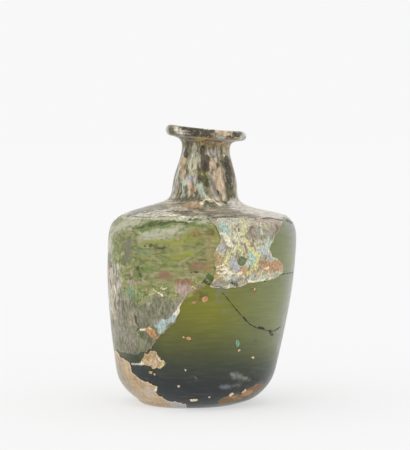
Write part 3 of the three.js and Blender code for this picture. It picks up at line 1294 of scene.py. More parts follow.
LIP_AND_NECK_MARKS = (
    # The lip's edge: pale and pink streaks, a dark top line and dark spots. The haze at its two
    # ends is painted sheen where the lip turns from the eye.
    Mark(Tint.HAZE_AND_SHEEN, ((167.5, 127), (168, 135)), 3.4, 1.4, 0.9),
    Mark(Tint.HAZE_AND_SHEEN, ((242, 132), (242, 139)), 4.4, 1.6, 0.9),
    Mark(Tint.PALE_STONE, ((177, 131), (186, 133), (192, 135)), 6, 1.6, 0.64),
    Mark(Tint.MAUVE, ((178, 129), (190, 131)), 2, 1, 0.75),
    Mark(Tint.LILAC, ((186, 130), (195, 131)), 1.8, 0.9, 0.8),
    Mark(Tint.PEACH, ((209, 132.5), (221, 133), (231, 134)), 3.4, 1.2, 0.8),
    Mark(Tint.MINT, ((213, 135.5), (222, 136)), 1.8, 0.9, 0.75),
    Mark(Tint.OLIVE_DARK, ((171, 128), (172, 133)), 5, 1.4, 0.85),
    Mark(Tint.DARK_LINE, ((184, 127.6), (194, 129), (204, 130.8), (213, 132)), 2.8, 0.8, 1.2),
    Mark(Tint.DARK_LINE, ((190, 132.4), (198, 132.8)), 3.6, 1.0, 1.1),
    Mark(Tint.DARK_LINE, ((203, 133.4), (209, 134.4)), 3, 0.9, 1.2),
    Mark(Tint.DARK_LINE, ((234.5, 134), (238, 134.4)), 5.4, 1.0, 1.3),
    Mark(Tint.DARK_LINE, ((175, 136.4), (194, 137.4)), 1.6, 0.7),
    Mark(Tint.DARK_LINE, ((226, 136.5), (233, 137.5)), 1.6, 0.7),
    # Painted shade along the lip's underside.
    Mark(Tint.OLIVE_DARK, ((196, 135), (212, 136.5)), 2.4, 1.0, 0.8),
    Mark(Tint.GOLD, ((196, 138.5), (206, 140)), 7, 2, 0.85),
    Mark(Tint.RUST, ((207, 139), (226, 140)), 3.4, 1.2, 0.85),
    Mark(Tint.GOLD, ((200, 144.5), (223, 145)), 4.5, 2, 0.7),
    # The neck, from left to right and then down to its foot.
    # Haze down the neck's left side: painted sheen where the neck turns from the eye.
    Mark(Tint.HAZE_AND_SHEEN, ((184, 150), (179, 168), (175, 188), (171, 200)), 3.5, 2, 0.8),
    Mark(Tint.TAN, ((184.5, 160), (182.5, 174)), 5, 1.8, 0.75),
    # A painted highlight down the neck.
    Mark(Tint.PAINTED_SHEEN, ((194.5, 146), (195, 158), (193, 168)), 9, 2.2, 0.75),
    Mark(Tint.CREAM, ((195, 166), (193, 174)), 5, 1.6, 0.6),
    Mark(Tint.DARK_LINE, ((187.5, 149), (187, 157)), 3.6, 1.2, 0.95),
    Mark(Tint.DARK_LINE, ((203, 148), (203.5, 157), (206, 170)), 6.5, 1.6, 0.78),
    Mark(Tint.DARK_LINE, ((204.5, 158), (205.5, 172)), 2.8, 1, 0.98),
    Mark(Tint.LILAC, ((213, 151), (213, 159)), 8, 2, 0.62),
    Mark(Tint.DARK_LINE, ((222, 148), (222.6, 153)), 1.8, 0.8, 0.85),
    Mark(Tint.YELLOW, ((220.8, 152), (221.6, 155)), 1.6, 0.8, 0.9),
    Mark(Tint.PEACH, ((212, 163), (217, 174), (221, 187)), 10, 1.8, 0.72),
    Mark(Tint.DARK_LINE, ((224.5, 158), (227, 170), (229.5, 181)), 5.2, 1.3, 0.98),
    Mark(Tint.RUST, ((229.5, 161), (232, 174)), 3.2, 1.2, 0.7),
    Mark(Tint.YELLOW_GREEN, ((198, 172.5), (205, 175), (211, 180)), 3, 1.0, 0.85),
    Mark(Tint.OLIVE_DARK, ((200, 178), (206, 181), (207, 185)), 5.8, 1.4, 0.98),
    Mark(Tint.MINT, ((184.5, 184), (184, 198)), 6.5, 2, 0.66),
    Mark(Tint.TURQUOISE, ((184, 190), (184.5, 197)), 3, 1.4, 0.6),
    Mark(Tint.DARK_LINE, ((182.5, 184), (180, 197)), 1.5, 0.7, 0.9),
    Mark(Tint.LILAC, ((188, 179), (195, 180)), 5, 2, 0.62),
    Mark(Tint.PEACH, ((190, 184), (192, 201)), 8, 2, 0.64),
    Mark(Tint.ORANGE, ((195, 186), (196, 196)), 2.4, 1, 0.7),
    Mark(Tint.DARK_LINE, ((196.5, 193), (198, 196)), 1.8, 0.8, 0.8),
    Mark(Tint.MINT, ((200, 184), (203, 194)), 6, 2, 0.68),
    Mark(Tint.STONE, ((212, 178), (216, 193)), 8, 2, 0.66),
    Mark(Tint.PEACH, ((220, 190), (224, 198)), 4, 1.6, 0.6),
    Mark(Tint.OLIVE_DARK, ((227.5, 184), (230.5, 199)), 6, 1.6, 0.92),
    Mark(Tint.DARK_LINE, ((230, 180), (231.5, 190)), 2, 0.9, 0.8),
    # Haze down the neck's right side: painted sheen where the neck turns from the eye.
    Mark(Tint.HAZE_AND_SHEEN, ((231, 149), (234.5, 180), (238, 199)), 3.2, 1.5, 0.85),
    Mark(Tint.ORANGE, ((184, 204), (193, 206), (200, 207)), 5, 2.2, 0.5),
    Mark(Tint.PEACH, ((183, 202), (192, 203)), 4, 1.6, 0.55),
    Mark(Tint.CREAM, ((201, 205), (206, 200), (213, 201.5), (221, 206)), 1.8, 0.9, 0.95),
    Mark(Tint.OLIVE_DARK, ((203, 208), (206, 203.5), (212, 206.5), (219, 208.5)), 1.6, 0.8, 0.95),
    Mark(Tint.DARK_LINE, ((217, 192), (221, 200), (226, 204)), 1.3, 0.7, 0.75),
)
SHOULDER_MARKS = (
    Mark(Tint.MAUVE, ((240, 217), (260, 219), (282, 222)), 4, 2.5, 0.62),
    # The pale stone toward both ends of the shoulder is partly pale crust and partly painted sheen where
    # the shoulder turns from the eye.
    Mark(Tint.PALE_STONE, ((234, 203), (248, 208), (264, 212), (291, 219)), 10, 3.5, 1.2),
    Mark(Tint.PALE_STONE, ((120, 215), (133, 208), (150, 203), (170, 198)), 4, 2.5, 0.8),
    Mark(Tint.PALE_STONE, ((132, 217), (150, 214), (170, 210)), 4, 2.5, 0.75),
    Mark(Tint.ASH, ((129, 213.5), (143, 208.5), (160, 205)), 4, 1.6, 0.9),
    Mark(Tint.OLIVE_BROWN, ((182, 212), (210, 213), (238, 212)), 7, 2.6, 0.58),
    Mark(Tint.TAN, ((184, 211), (200, 212.5), (214, 215.5)), 1.8, 0.8, 0.85),
    Mark(Tint.TAN, ((208, 210), (226, 210)), 1.8, 0.8, 0.8),
    Mark(Tint.DARK_LINE, ((196, 214.5), (212, 216)), 1.5, 0.7, 0.85),
    Mark(Tint.GREY_OLIVE, ((176, 206), (200, 209), (230, 208)), 5, 2.5, 0.7),
    Mark(Tint.PEACH, ((176, 208), (190, 210)), 3, 1.5, 0.6),
    Mark(Tint.PEACH, ((205, 214), (222, 214.5), (232, 211)), 2.4, 1.2, 0.65),
    Mark(Tint.DARK_LINE, ((191, 209), (203, 210)), 1.8, 0.9, 0.8),
    Mark(Tint.DARK_LINE, ((212, 212.4), (224, 213), (234, 213)), 1.5, 0.8, 0.8),
    # A painted sheen: the pale band along the shoulder's edge.
    Mark(Tint.PAINTED_SHEEN, ((114, 228), (134, 219), (160, 216), (190, 217.5), (206, 218)), 7, 4, 0.85),
    Mark(Tint.DARK_LINE, ((127, 217), (139, 212.5), (150, 211), (163, 209.5)), 1.1, 0.6, 0.9),
    Mark(Tint.DARK_LINE, ((167, 212), (180, 212.5), (192, 213)), 1.1, 0.6, 0.9),
    Mark(Tint.DARK_LINE, ((179, 214), (192, 216.5), (206, 217.5)), 1.1, 0.6, 0.9),
    Mark(Tint.DARK_LINE, ((190, 219.5), (206, 220), (216, 218), (236, 216)), 1.4, 0.7, 0.8),
    Mark(Tint.CREAM, ((150, 216), (170, 215), (186, 218)), 1.8, 1.0, 0.6),
)
BODY_STAINS_AND_SHEEN = (
    # The upper left, where light comes through a thin film, and the hazy limbs, whose haze is
    # partly weathering and partly painted sheen.
    Mark(Tint.HAZE_AND_SHEEN, ((110, 222), (109, 252), (110, 340)), 6, 4, 0.66),
    Mark(Tint.HAZE_AND_SHEEN, ((290, 222), (297, 240), (295, 270), (290, 310), (283, 345)), 12, 7, 1.0,
         wander=2.2),
    Mark(Tint.GREY_OLIVE, ((118, 226), (123, 240), (125, 262)), 14, 7, 0.6),
    # Painted sheen: the pale band under the shoulder's edge.
    Mark(Tint.PAINTED_SHEEN, ((114, 230), (134, 221), (160, 218), (190, 218.5), (206, 219)), 8, 4, 0.95),
    Mark(Tint.GOLD, ((196, 286), (199, 297)), 9, 3, 0.62),
    Mark(Tint.CREAM, ((194, 286.5), (196.5, 288.5)), 2.2, 1, 0.85),
    Mark(Tint.LEAF_GREEN, ((200, 291), (205, 294)), 4, 1.5, 0.7),
    Mark(Tint.TAN, ((186, 300), (192, 298)), 3, 1.5, 0.6),
    Mark(Tint.HAZE_AND_SHEEN, ((214, 291), (228, 290.5)), 5, 3, 0.6),
    Mark(Tint.LEAF_GREEN, ((142, 230), (152, 224), (180, 222), (196, 224)), 6, 3, 0.85),
    Mark(Tint.OLIVE_DARK, ((138, 228), (148, 225), (165, 222.5), (188, 221.5)), 2.6, 1.4, 0.9),
    # A painted reflection of the lamp: the broad pale band on the upper left.
    Mark(Tint.PAINTED_SHEEN, ((146, 237), (158, 234), (178, 229)), 15, 6, 0.76),
    Mark(Tint.YELLOW_GREEN, ((176, 243), (192, 238)), 12, 5, 0.76),
    Mark(Tint.OLIVE_BROWN, ((195, 237), (211, 232)), 11, 5, 0.7),
    Mark(Tint.GOLD, ((195, 237), (211, 240)), 10, 5, 0.62),
    Mark(Tint.YELLOW_GREEN, ((214, 231), (218, 243)), 5, 2.5, 0.85),
    Mark(Tint.YELLOW_GREEN, ((141, 242.5), (160, 242), (176, 244)), 5, 2.5, 0.8),
    Mark(Tint.OLIVE_DARK, ((147, 245.5), (156, 247.5), (168, 247)), 3, 1.3, 0.95),
    Mark(Tint.TEAL_GREEN, ((141, 252), (150, 256), (154, 263)), 9, 3, 0.85),
    Mark(Tint.CREAM, ((143, 250), (149, 251), (146, 255), (152, 258), (156, 263)), 1.1, 0.8, 0.7),
    Mark(Tint.BARE_GREEN, ((155, 252), (158, 259)), 3.6, 1.5, 0.9),
    Mark(Tint.YELLOW_GREEN, ((174, 257), (190, 254)), 7, 3, 0.85),
    Mark(Tint.LEAF_GREEN, ((140, 272), (156, 266), (182, 266)), 9, 4, 0.85),
    Mark(Tint.RED_BROWN, ((193, 248), (203, 255), (203, 263), (186, 267)), 13, 5, 0.66),
    Mark(Tint.GOLD, ((212, 250), (213, 258), (208, 270)), 8, 3, 0.68),
    Mark(Tint.PEACH, ((207, 249), (210, 252)), 3, 1.2, 0.7),
    Mark(Tint.RED_BROWN, ((162, 275), (176, 277), (190, 282)), 10, 4, 0.62),
    Mark(Tint.DARK_LINE, ((176, 272.5), (190, 271.8), (205, 273)), 0.9, 0.5, 0.75),
    Mark(Tint.MAUVE, ((129, 272), (136, 273)), 4, 2.5, 0.55),
    Mark(Tint.MAUVE, ((129, 283), (136, 284)), 4, 2.5, 0.55),
    Mark(Tint.OLIVE_DARK, ((138, 262), (142, 280)), 4, 2.5, 0.7),
    Mark(Tint.OLIVE_BROWN, ((216, 252), (214, 262), (216, 270)), 5, 2, 0.75),
    Mark(Tint.BARE_GREEN, ((210, 276), (212, 280)), 5, 1.5, 0.8),
    Mark(Tint.DARK_LINE, ((205, 279), (201, 284)), 1.2, 0.6, 0.8),
    # The cleaned glass: clouds, specks and the worn heel.
    Mark(Tint.HAZE_AND_SHEEN, ((219, 296), (226, 308)), 8, 6, 0.5),
    Mark(Tint.PEWTER, UPPER_CLOUD, 8, 3, 0.9),
    Mark(Tint.PEWTER, LOWER_CLOUD, 4, 2.5, 0.8),
    Mark(Tint.PEWTER, ((246, 340), (256, 341)), 6, 4, 0.4),
    Mark(Tint.HAZE_AND_SHEEN, ((190, 376), (195, 377)), 2.2, 1.4, 0.8),
    Mark(Tint.DARK_LINE, ((205, 282), (211, 285.5), (216, 286)), 3, 1.2, 0.85),
    Mark(Tint.DARK_LINE, ((230, 387), (246, 383), (256, 380)), 5, 2.5, 0.55),
    Mark(Tint.RUST, WORN_HEEL, 6.5, 2.5, 0.95),
    Mark(Tint.TAN, ((224, 399), (238, 395), (252, 389), (260, 385)), 3, 2.2, 0.8),
    Mark(Tint.ORANGE, ((234, 398), (250, 392)), 3.5, 2, 0.7),
    Mark(Tint.SLATE, ((130, 368), (150, 377), (170, 384), (186, 386)), 12, 5, 0.7),
    Mark(Tint.BARE_GREEN, ((128, 358), (136, 360)), 6, 2.5, 0.8),
)
# Where the thin brushed film lies on the glass. Only the cover of these marks counts, because the
# film has its own colours.
FILMS = (
    Mark(Tint.HAZE_AND_SHEEN, UPPER_LEFT_FILM, 0, 5.0, 0.8, True),
    Mark(Tint.HAZE_AND_SHEEN, ((292, 222), (299, 240), (297, 270), (292, 310), (285, 345)), 8, 7, 0.36),
    Mark(Tint.RUST, WORN_HEEL, 7, 2.5, 0.9),
    Mark(Tint.PEWTER, UPPER_CLOUD, 8, 3, 0.6),
    Mark(Tint.PEWTER, LOWER_CLOUD, 4, 2.5, 0.6),
)
DENSE_CRUST_MARKS = (
    # Haze down the left outline: partly weathering, partly painted sheen where the body turns from the
    # eye.
    Mark(Tint.HAZE_AND_SHEEN, ((108, 228), (108.5, 270), (110.5, 320), (113, 345)), 5, 3.5, 0.6),
    Mark(Tint.PALE_STONE, ((117, 266), (118, 290), (117, 312)), 6, 4, 0.56),
    Mark(Tint.GREY_OLIVE, ((146, 306), (160, 300), (168, 306)), 12, 5, 0.65),
    Mark(Tint.MAUVE, ((180, 288), (191, 291)), 10, 4, 0.75),
    Mark(Tint.RED_BROWN, ((183, 281), (194, 285)), 5, 2, 0.75),
    Mark(Tint.CREAM, ((152, 288), (158, 292), (161, 295)), 1.5, 0.8, 0.85),
    Mark(Tint.CREAM, ((157, 288), (166, 286.5)), 1.1, 0.7, 0.7),
    Mark(Tint.TEAL_GREEN, ((130, 291), (136, 302)), 9, 5, 0.56),
    # A patch of painted sheen.
    Mark(Tint.PAINTED_SHEEN, ((143, 296), (150, 302)), 8, 4, 0.55),
    Mark(Tint.LEAF_GREEN, ((140, 296), (150, 300)), 8, 4, 0.6),
    Mark(Tint.STONE, ((120, 330), (132, 345)), 14, 5, 0.5),
    Mark(Tint.MAUVE, ((121, 330), (130, 346)), 7, 3, 0.48),
    Mark(Tint.SLATE, ((124, 356), (134, 357), (143, 354)), 7, 4, 0.7),
    Mark(Tint.DARK_LINE, ((135, 313), (139, 325), (139, 332)), 0.9, 0.6, 0.8),
    Mark(Tint.DARK_LINE, ((110, 252), (110.5, 270), (111.5, 288)), 1.4, 0.7, 0.9),
    Mark(Tint.DARK_LINE, ((112.5, 320), (113.5, 346)), 1.6, 0.7, 0.9),
    Mark(Tint.PEACH, ((112.5, 262), (114, 290), (115, 318)), 3.4, 1.8, 0.6),
    Mark(Tint.CREAM, ((115, 286), (116, 293)), 1.4, 0.8, 0.9),
    Mark(Tint.BEIGE, ((120, 300), (122, 322)), 5, 2.5, 0.75),
    Mark(Tint.BARE_GREEN, ((142, 333), (145, 339)), 4.6, 1.4, 0.95),
    # The pearly strip along the crust's broken edge.
    Mark(Tint.STONE, ((158, 325), (167, 318), (177, 310)), 8, 2, 0.75),
    Mark(Tint.SKY, ((154, 326), (163, 319.5), (172, 314), (178, 310), (179, 313), (175, 319),
                    (169, 325), (163, 332), (159, 334), (155, 331)), 0, 1.8, 0.56, True),
    Mark(Tint.TURQUOISE, ((158, 326), (164, 321.5), (170, 318)), 4.2, 1.6, 0.72),
    Mark(Tint.SLATE, ((165.4, 320.6), (166.6, 323)), 2.2, 0.9, 0.9),
    Mark(Tint.SLATE, ((157.6, 325), (160.4, 325.4)), 1.8, 0.8, 0.85),
    Mark(Tint.SLATE, ((161, 328.6), (161.6, 331)), 1.6, 0.8, 0.8),
    Mark(Tint.SLATE, ((171, 316), (172, 319)), 1.4, 0.8, 0.75),
    Mark(Tint.MINT, ((162, 329), (159, 333)), 3.4, 1.2, 0.85),
    Mark(Tint.CREAM, ((181, 305), (178.5, 311), (174, 313)), 2.2, 0.9, 0.85),
    Mark(Tint.RUST, ((178.6, 315), (175, 321.6), (171, 325)), 1.6, 0.8, 0.85),
    Mark(Tint.VIVID_TEAL, ((168.5, 319.5), (170, 321)), 1.4, 0.8, 0.9),
)
PATCH_MARKS = (
    Mark(Tint.STONE, ((210, 220), (216, 228), (222, 238), (227, 246)), 6, 2, 0.7),
    Mark(Tint.GOLD, ((214, 254), (220, 262), (217, 280)), 9, 3, 0.72),
    Mark(Tint.STONE, ((254, 233), (268, 234), (277, 231)), 15, 4, 0.7),
    Mark(Tint.OLIVE_BROWN, ((247, 227), (249, 240)), 1.4, 0.8, 0.75),
    Mark(Tint.OLIVE_BROWN, ((237, 226), (240, 236)), 1.4, 0.8, 0.75),
    Mark(Tint.RED_BROWN, ((244, 245), (247, 254)), 4, 1.6, 0.8),
    Mark(Tint.PALE_STONE, ((258, 250.5), (268, 250)), 4.5, 1.5, 0.8),
    Mark(Tint.LILAC, ((268, 258), (271, 260)), 4, 1.2, 0.85),
    Mark(Tint.HAZE_AND_SHEEN, ((224, 221), (236, 222)), 6, 2.5, 0.7),
    Mark(Tint.YELLOW, ((241, 222), (246, 229)), 4.4, 1.6, 0.62),
    Mark(Tint.MAUVE, ((251, 219), (265, 219), (279, 222)), 7, 2.2, 0.85),
    Mark(Tint.RUST, ((277, 224), (279, 232)), 3, 1.2, 0.75),
    Mark(Tint.TURQUOISE, ((222.5, 226), (227, 234)), 5.4, 1.4, 0.98),
    Mark(Tint.CREAM, ((223, 234), (228, 241), (234, 250)), 4.4, 1.3, 0.95),
    Mark(Tint.YELLOW, ((242, 230), (246, 240), (249, 249)), 3, 1.1, 0.95),
    Mark(Tint.CREAM, ((239, 232), (243, 243)), 2.0, 0.9, 0.8),
    Mark(Tint.RUST, ((250.5, 227), (253, 236), (252, 246)), 1.8, 0.9, 0.9),
    Mark(Tint.RUST, ((258, 228), (263, 241)), 1.6, 0.9, 0.85),
    Mark(Tint.RUST, ((278, 227), (275, 238)), 2.2, 1.1, 0.85),
    Mark(Tint.MINT, ((262, 232), (268, 243)), 7, 2.5, 0.6),
    Mark(Tint.LILAC, ((219, 244), (225, 244), (224, 250), (219, 250)), 0, 1.0, 0.95, True),
    Mark(Tint.YELLOW, ((238, 245), (232, 250), (227, 257), (224.5, 264)), 3, 1.1, 0.98),
    Mark(Tint.YELLOW, ((236, 248), (244, 256)), 2, 0.9, 0.9),
    Mark(Tint.LILAC, ((232, 260), (238, 269)), 5.6, 1.4, 0.9),
    Mark(Tint.YELLOW, ((250, 248), (257.5, 257), (254.5, 268), (250, 274)), 4.6, 1.1, 0.98),
    Mark(Tint.TURQUOISE, ((251, 253), (253, 266)), 4, 1.2, 0.98),
    Mark(Tint.SKY, ((261, 249), (270, 258)), 4.4, 1.4, 0.85),
    Mark(Tint.ORANGE, ((243, 272), (256, 270), (268, 266), (278, 265)), 11, 2.6, 0.72),
    Mark(Tint.RUST, ((256, 262), (266, 264), (276, 270)), 4, 1.6, 0.75),
    Mark(Tint.CREAM, ((229, 273), (241, 273)), 3, 1.1, 0.95),
    Mark(Tint.SKY, ((231, 275), (234, 280)), 3.4, 1.0, 0.95),
    Mark(Tint.SKY, ((252, 279), (254, 274)), 4.2, 1.0, 0.95),
    Mark(Tint.CREAM, ((249, 281.6), (256, 281.2), (266, 279.4), (270, 277)), 2.0, 0.8, 1.0),
    Mark(Tint.MINT, ((258, 279), (266, 277.5)), 3.2, 1.0, 0.85),
    Mark(Tint.SKY, ((244, 277), (247, 280)), 3.0, 1.0, 0.8),
    Mark(Tint.SLATE, ((233.4, 281.6), (236, 286)), 4, 1.3, 0.85),
    Mark(Tint.CREAM, ((261, 274), (263, 269), (268, 267)), 1.4, 0.7, 0.95),
    Mark(Tint.CREAM, ((217, 267), (225, 266.5)), 1.4, 0.6, 0.95),
    Mark(Tint.CREAM, ((217, 270.3), (226, 270)), 1.4, 0.6, 0.95),
    Mark(Tint.CREAM, ((217, 273.6), (226, 273.4)), 1.4, 0.6, 0.95),
    Mark(Tint.CREAM, ((218, 276.8), (224, 276.8)), 1.4, 0.6, 0.95),
    Mark(Tint.STONE, ((214, 284), (228, 283), (238, 281)), 6, 1.6, 0.85),
    Mark(Tint.DARK_LINE, ((231, 282.5), (234, 283.5)), 2.4, 0.9, 0.85),
    Mark(Tint.DARK_LINE, ((208, 282), (212, 286), (224, 288)), 1.6, 0.8, 0.85),
    Mark(Tint.BARE_GREEN, ((237, 258), (243, 257), (247.5, 260), (243, 266), (238, 265)),
         0, 0.9, 1.0, True),
    Mark(Tint.DARK_LINE, ((208, 220.5), (210, 221.5)), 1.8, 0.9, 0.85),
    Mark(Tint.DARK_LINE, ((215, 226), (217.5, 228)), 1.6, 0.8, 0.8),
    Mark(Tint.DARK_LINE, ((231, 247.5), (233, 249)), 1.6, 0.8, 0.9),
)
TAN_CRUST_MARKS = (
    Mark(Tint.STONE, ((116, 362), (122, 380), (132, 394)), 9, 4, 0.75),
    Mark(Tint.PEACH, ((138, 380), (150, 392)), 8, 4, 0.6),
    Mark(Tint.LILAC, ((140, 389.5), (150, 391.5), (160, 394)), 2.4, 1.4, 0.7),
    Mark(Tint.CREAM, ((150, 383.5), (157.5, 387.5), (156, 390.5)), 1.6, 0.8, 0.9),
    Mark(Tint.CREAM, ((133, 371), (134.5, 373.5)), 2.6, 0.9, 0.95),
    Mark(Tint.RUST, ((157, 391.5), (159, 396)), 1.4, 0.7, 0.9),
    Mark(Tint.LILAC, ((169, 403), (179, 404.5), (186, 406)), 5, 1.5, 0.95),
    Mark(Tint.MAUVE, ((172, 406), (184, 408)), 2.4, 1.2, 0.8),
    Mark(Tint.ORANGE, ((134, 399), (146, 404)), 3, 1.6, 0.75),
)
# Loose flakes that the cleaning left, and three glints painted as pale flakes, each with its
# outline and its tint.
FLAKES_AND_GLINTS = (
    (Tint.TAN, ((141, 364), (141.5, 360), (144.5, 357), (145, 353.5), (148.5, 354), (150.5, 351),
                (154, 350.6), (157, 352.3), (158.2, 356), (160.8, 357.3), (160.4, 360), (163, 359.6),
                (165.4, 362.8), (163.8, 366), (160.8, 368.6), (157, 367.4), (153.7, 369), (150.4, 365.6),
                (146, 365.2))),
    (Tint.ORANGE, ((146, 328), (150, 326.5), (154.5, 330), (157, 335), (152.5, 338), (148, 333))),
    (Tint.ORANGE, ((155, 336), (159, 336), (158, 338.8), (155.5, 338.6))),
    (Tint.CREAM, ((139.5, 329), (146, 328), (146.5, 330.4), (141, 331))),
    (Tint.SKY, ((131, 363), (144, 362.8), (145, 365), (133, 364.8))),
    (Tint.TAN, ((149, 371.5), (153, 371), (152, 373.8), (150, 373.2))),
    (Tint.TAN, ((154, 373.5), (156, 373.8), (155.4, 375.6), (154, 375))),
    (Tint.ORANGE, ((202, 298), (205, 296), (208, 297), (207.6, 301), (203.5, 302.4), (201.8, 300.5))),
    (Tint.ORANGE, ((192, 301.6), (196, 300.8), (197.4, 302.6), (194, 304))),
    (Tint.OLIVE_BROWN, ((250.5, 287), (254, 286.6), (256.4, 290), (254.6, 294), (251.6, 292))),
    (Tint.YELLOW, ((251.2, 356.5), (253.8, 356.3), (253.6, 358.6), (251.6, 358.4))),
    (Tint.VIVID_TEAL, ((235.2, 340), (238, 339.6), (239.4, 343), (238.6, 347.4), (236, 346.6))),
    (Tint.MINT, ((237.8, 349.6), (240, 349.4), (239.8, 351.4), (238, 351.4))),
    (Tint.CREAM, ((182.4, 336.6), (184.2, 336.4), (184.4, 338), (182.8, 338.2))),
    (Tint.ORANGE, ((186.2, 337), (189.6, 336.4), (191.4, 338.6), (190.6, 340.4), (187, 339.8))),
    (Tint.MINT, ((184.6, 369), (186.4, 369), (186.4, 371.2), (184.8, 371))),
    (Tint.HAZE_AND_SHEEN, ((177.6, 385.4), (180, 385.4), (179.8, 387.2), (178, 387.2))),
    (Tint.HAZE_AND_SHEEN, ((208, 396), (210.4, 396), (210, 397.4), (208.2, 397.4))),
    # Three painted glints on the worn heel: highlights drawn as small pale flakes.
    (Tint.CREAM, ((190, 399.2), (197.8, 398.6), (198, 400.2), (191, 401))),
    (Tint.CREAM, ((228, 395.6), (232, 392.6), (233.6, 393.4), (230.6, 396.4))),
    (Tint.PEACH, ((241, 392.4), (245.4, 388.6), (246, 390.2), (243, 393))),
)
FLAKE_MARKS = (
    Mark(Tint.CREAM, ((142, 361.5), (144, 363.5)), 2.6, 0.9, 0.95),
    Mark(Tint.CREAM, ((158.6, 357.5), (161, 361)), 2.8, 0.9, 0.95),
    Mark(Tint.CREAM, ((163, 364), (164.5, 365)), 1.8, 0.8, 0.9),
    Mark(Tint.CREAM, ((157, 356.5), (159.5, 358.5)), 1.6, 0.7, 0.95),
    Mark(Tint.YELLOW, ((164, 362), (163, 366), (158, 368), (154, 367.6)), 2, 0.9, 0.8),
    Mark(Tint.PEACH, ((146, 360), (152, 362.5), (156, 365)), 6, 1.8, 0.72),
    Mark(Tint.ORANGE, ((147, 357.5), (150, 361)), 3, 1.2, 0.8),
    Mark(Tint.MAUVE, ((154.4, 352.6), (156.6, 355)), 4, 1.4, 0.7),
    Mark(Tint.OLIVE_BROWN, ((150.6, 353.5), (152, 357.5)), 3.8, 1.3, 0.9),
    Mark(Tint.RUST, ((150, 331), (153, 335)), 1.6, 0.9, 0.8),
    Mark(Tint.CREAM, ((150, 328), (153, 330)), 1.2, 0.7, 0.8),
    Mark(Tint.YELLOW, ((252, 288), (254, 289)), 1.4, 0.8, 0.8),
)
# Cracks mended long ago, and the chips along them: the path, and its width in pixels.
JOIN_LINES = (
    (((221, 291.5), (227, 298), (232, 304.5), (243, 317.5), (250, 324.5), (257, 328), (264, 329.5),
      (270, 331.5), (275, 330.5), (280, 327)), 0.75),
    (((243, 317), (247, 321.5)), 1.3),
    (((259.5, 327.6), (263, 328.5)), 2.6),
    (((270, 331), (271.6, 334.4)), 3.0),
    (((264, 281.5), (274, 277.5), (283, 274), (293, 272.5)), 0.65),
    (((287, 220), (292, 223)), 1.6),
    (((136, 398.6), (150, 404.4), (170, 408.5)), 1.2),
)


def inside_on_front(*outlines: Places) -> Callable[[SkinPoints], np.ndarray]:
    """How deep a point lies inside any of some outlines on the front, far outside on the back."""
    def depth(skin: SkinPoints) -> np.ndarray:
        """Depth of each point in millimetres."""
        deepest = np.max([depth_inside(skin.pixels, outline) for outline in outlines], axis=0)
        return deepest * VIEW.pixel - CRUST_HIDDEN * (1.0 - skin.facing)
    return depth


def along_join_lines(skin: SkinPoints) -> np.ndarray:
    """How deep a point lies inside a join line, in millimetres."""
    depths = [width / 2 - distance_to_path(skin.pixels, path) for path, width in JOIN_LINES]
    return np.max(depths, axis=0) * VIEW.pixel - LINE_HIDDEN * (1.0 - skin.facing)


def above_shoulder(skin: SkinPoints) -> np.ndarray:
    """How far a point lies above the shoulder's edge, where the neck's crust begins."""
    return skin.height - SHOULDER_EDGE + 1.1 * lumps(skin.points, 5.0, 12)


def thin_at_shoulder(skin: SkinPoints) -> np.ndarray:
    """How thin the neck's crust lies: it fades out at the shoulder's edge, but not by the patch."""
    fading = smooth_between(SHOULDER_EDGE + 1.7, SHOULDER_EDGE - 0.3, skin.height)
    beside_patch = smooth_between(*FULL_EDGE_COLUMNS, skin.pixels[:, 0]) * skin.facing
    return 0.7 * fading * (1.0 - beside_patch)


def thin_at_top(skin: SkinPoints) -> np.ndarray:
    """How thin the dense crust lies: along its upper edge in front, and all round it behind."""
    distance = distance_to_path(skin.pixels, CRUST_FADES) + 5.0 * lumps(skin.points, 4.0, 14)
    in_front = smooth_between(*CRUST_FADE_WIDTHS, distance)
    behind = smooth_between(5.0, 0.5, patches_behind(skin))
    return in_front * skin.facing + behind * (1.0 - skin.facing)


def on_dull_sides(skin: SkinPoints) -> np.ndarray:
    """Depth inside the dense crust: its outline on the front, and broad patches behind."""
    front = depth_inside(skin.pixels, DENSE_CRUST) * VIEW.pixel
    ragged = smooth_between(*RAGGED_EDGE_ROWS, skin.pixels[:, 1])
    front += ragged * (3.2 * lumps(skin.points, 3.6, 9) + 1.6 * lumps(skin.points, 1.7, 10) - 0.4)
    return skin.facing * front + (1.0 - skin.facing) * patches_behind(skin)


def patches_behind(skin: SkinPoints) -> np.ndarray:
    """Depth inside the broad patches of crust on the sides that the photograph doesn't show.

    They lie thicker on the left, and stop short of the heel and of the shoulder's top.
    """
    left = smooth_between(10.0, -25.0, skin.points[:, 0])
    patches = 9.0 * lumps(skin.points, 21.0, 3) + 4.0 * lumps(skin.points, 6.0, 4) - 0.5 + 5.0 * left
    above_heel = 0.5 * skin.height - 3.0
    below_top = SHOULDER_EDGE + 1.6 - skin.height
    return np.minimum(patches, np.minimum(above_heel, below_top))


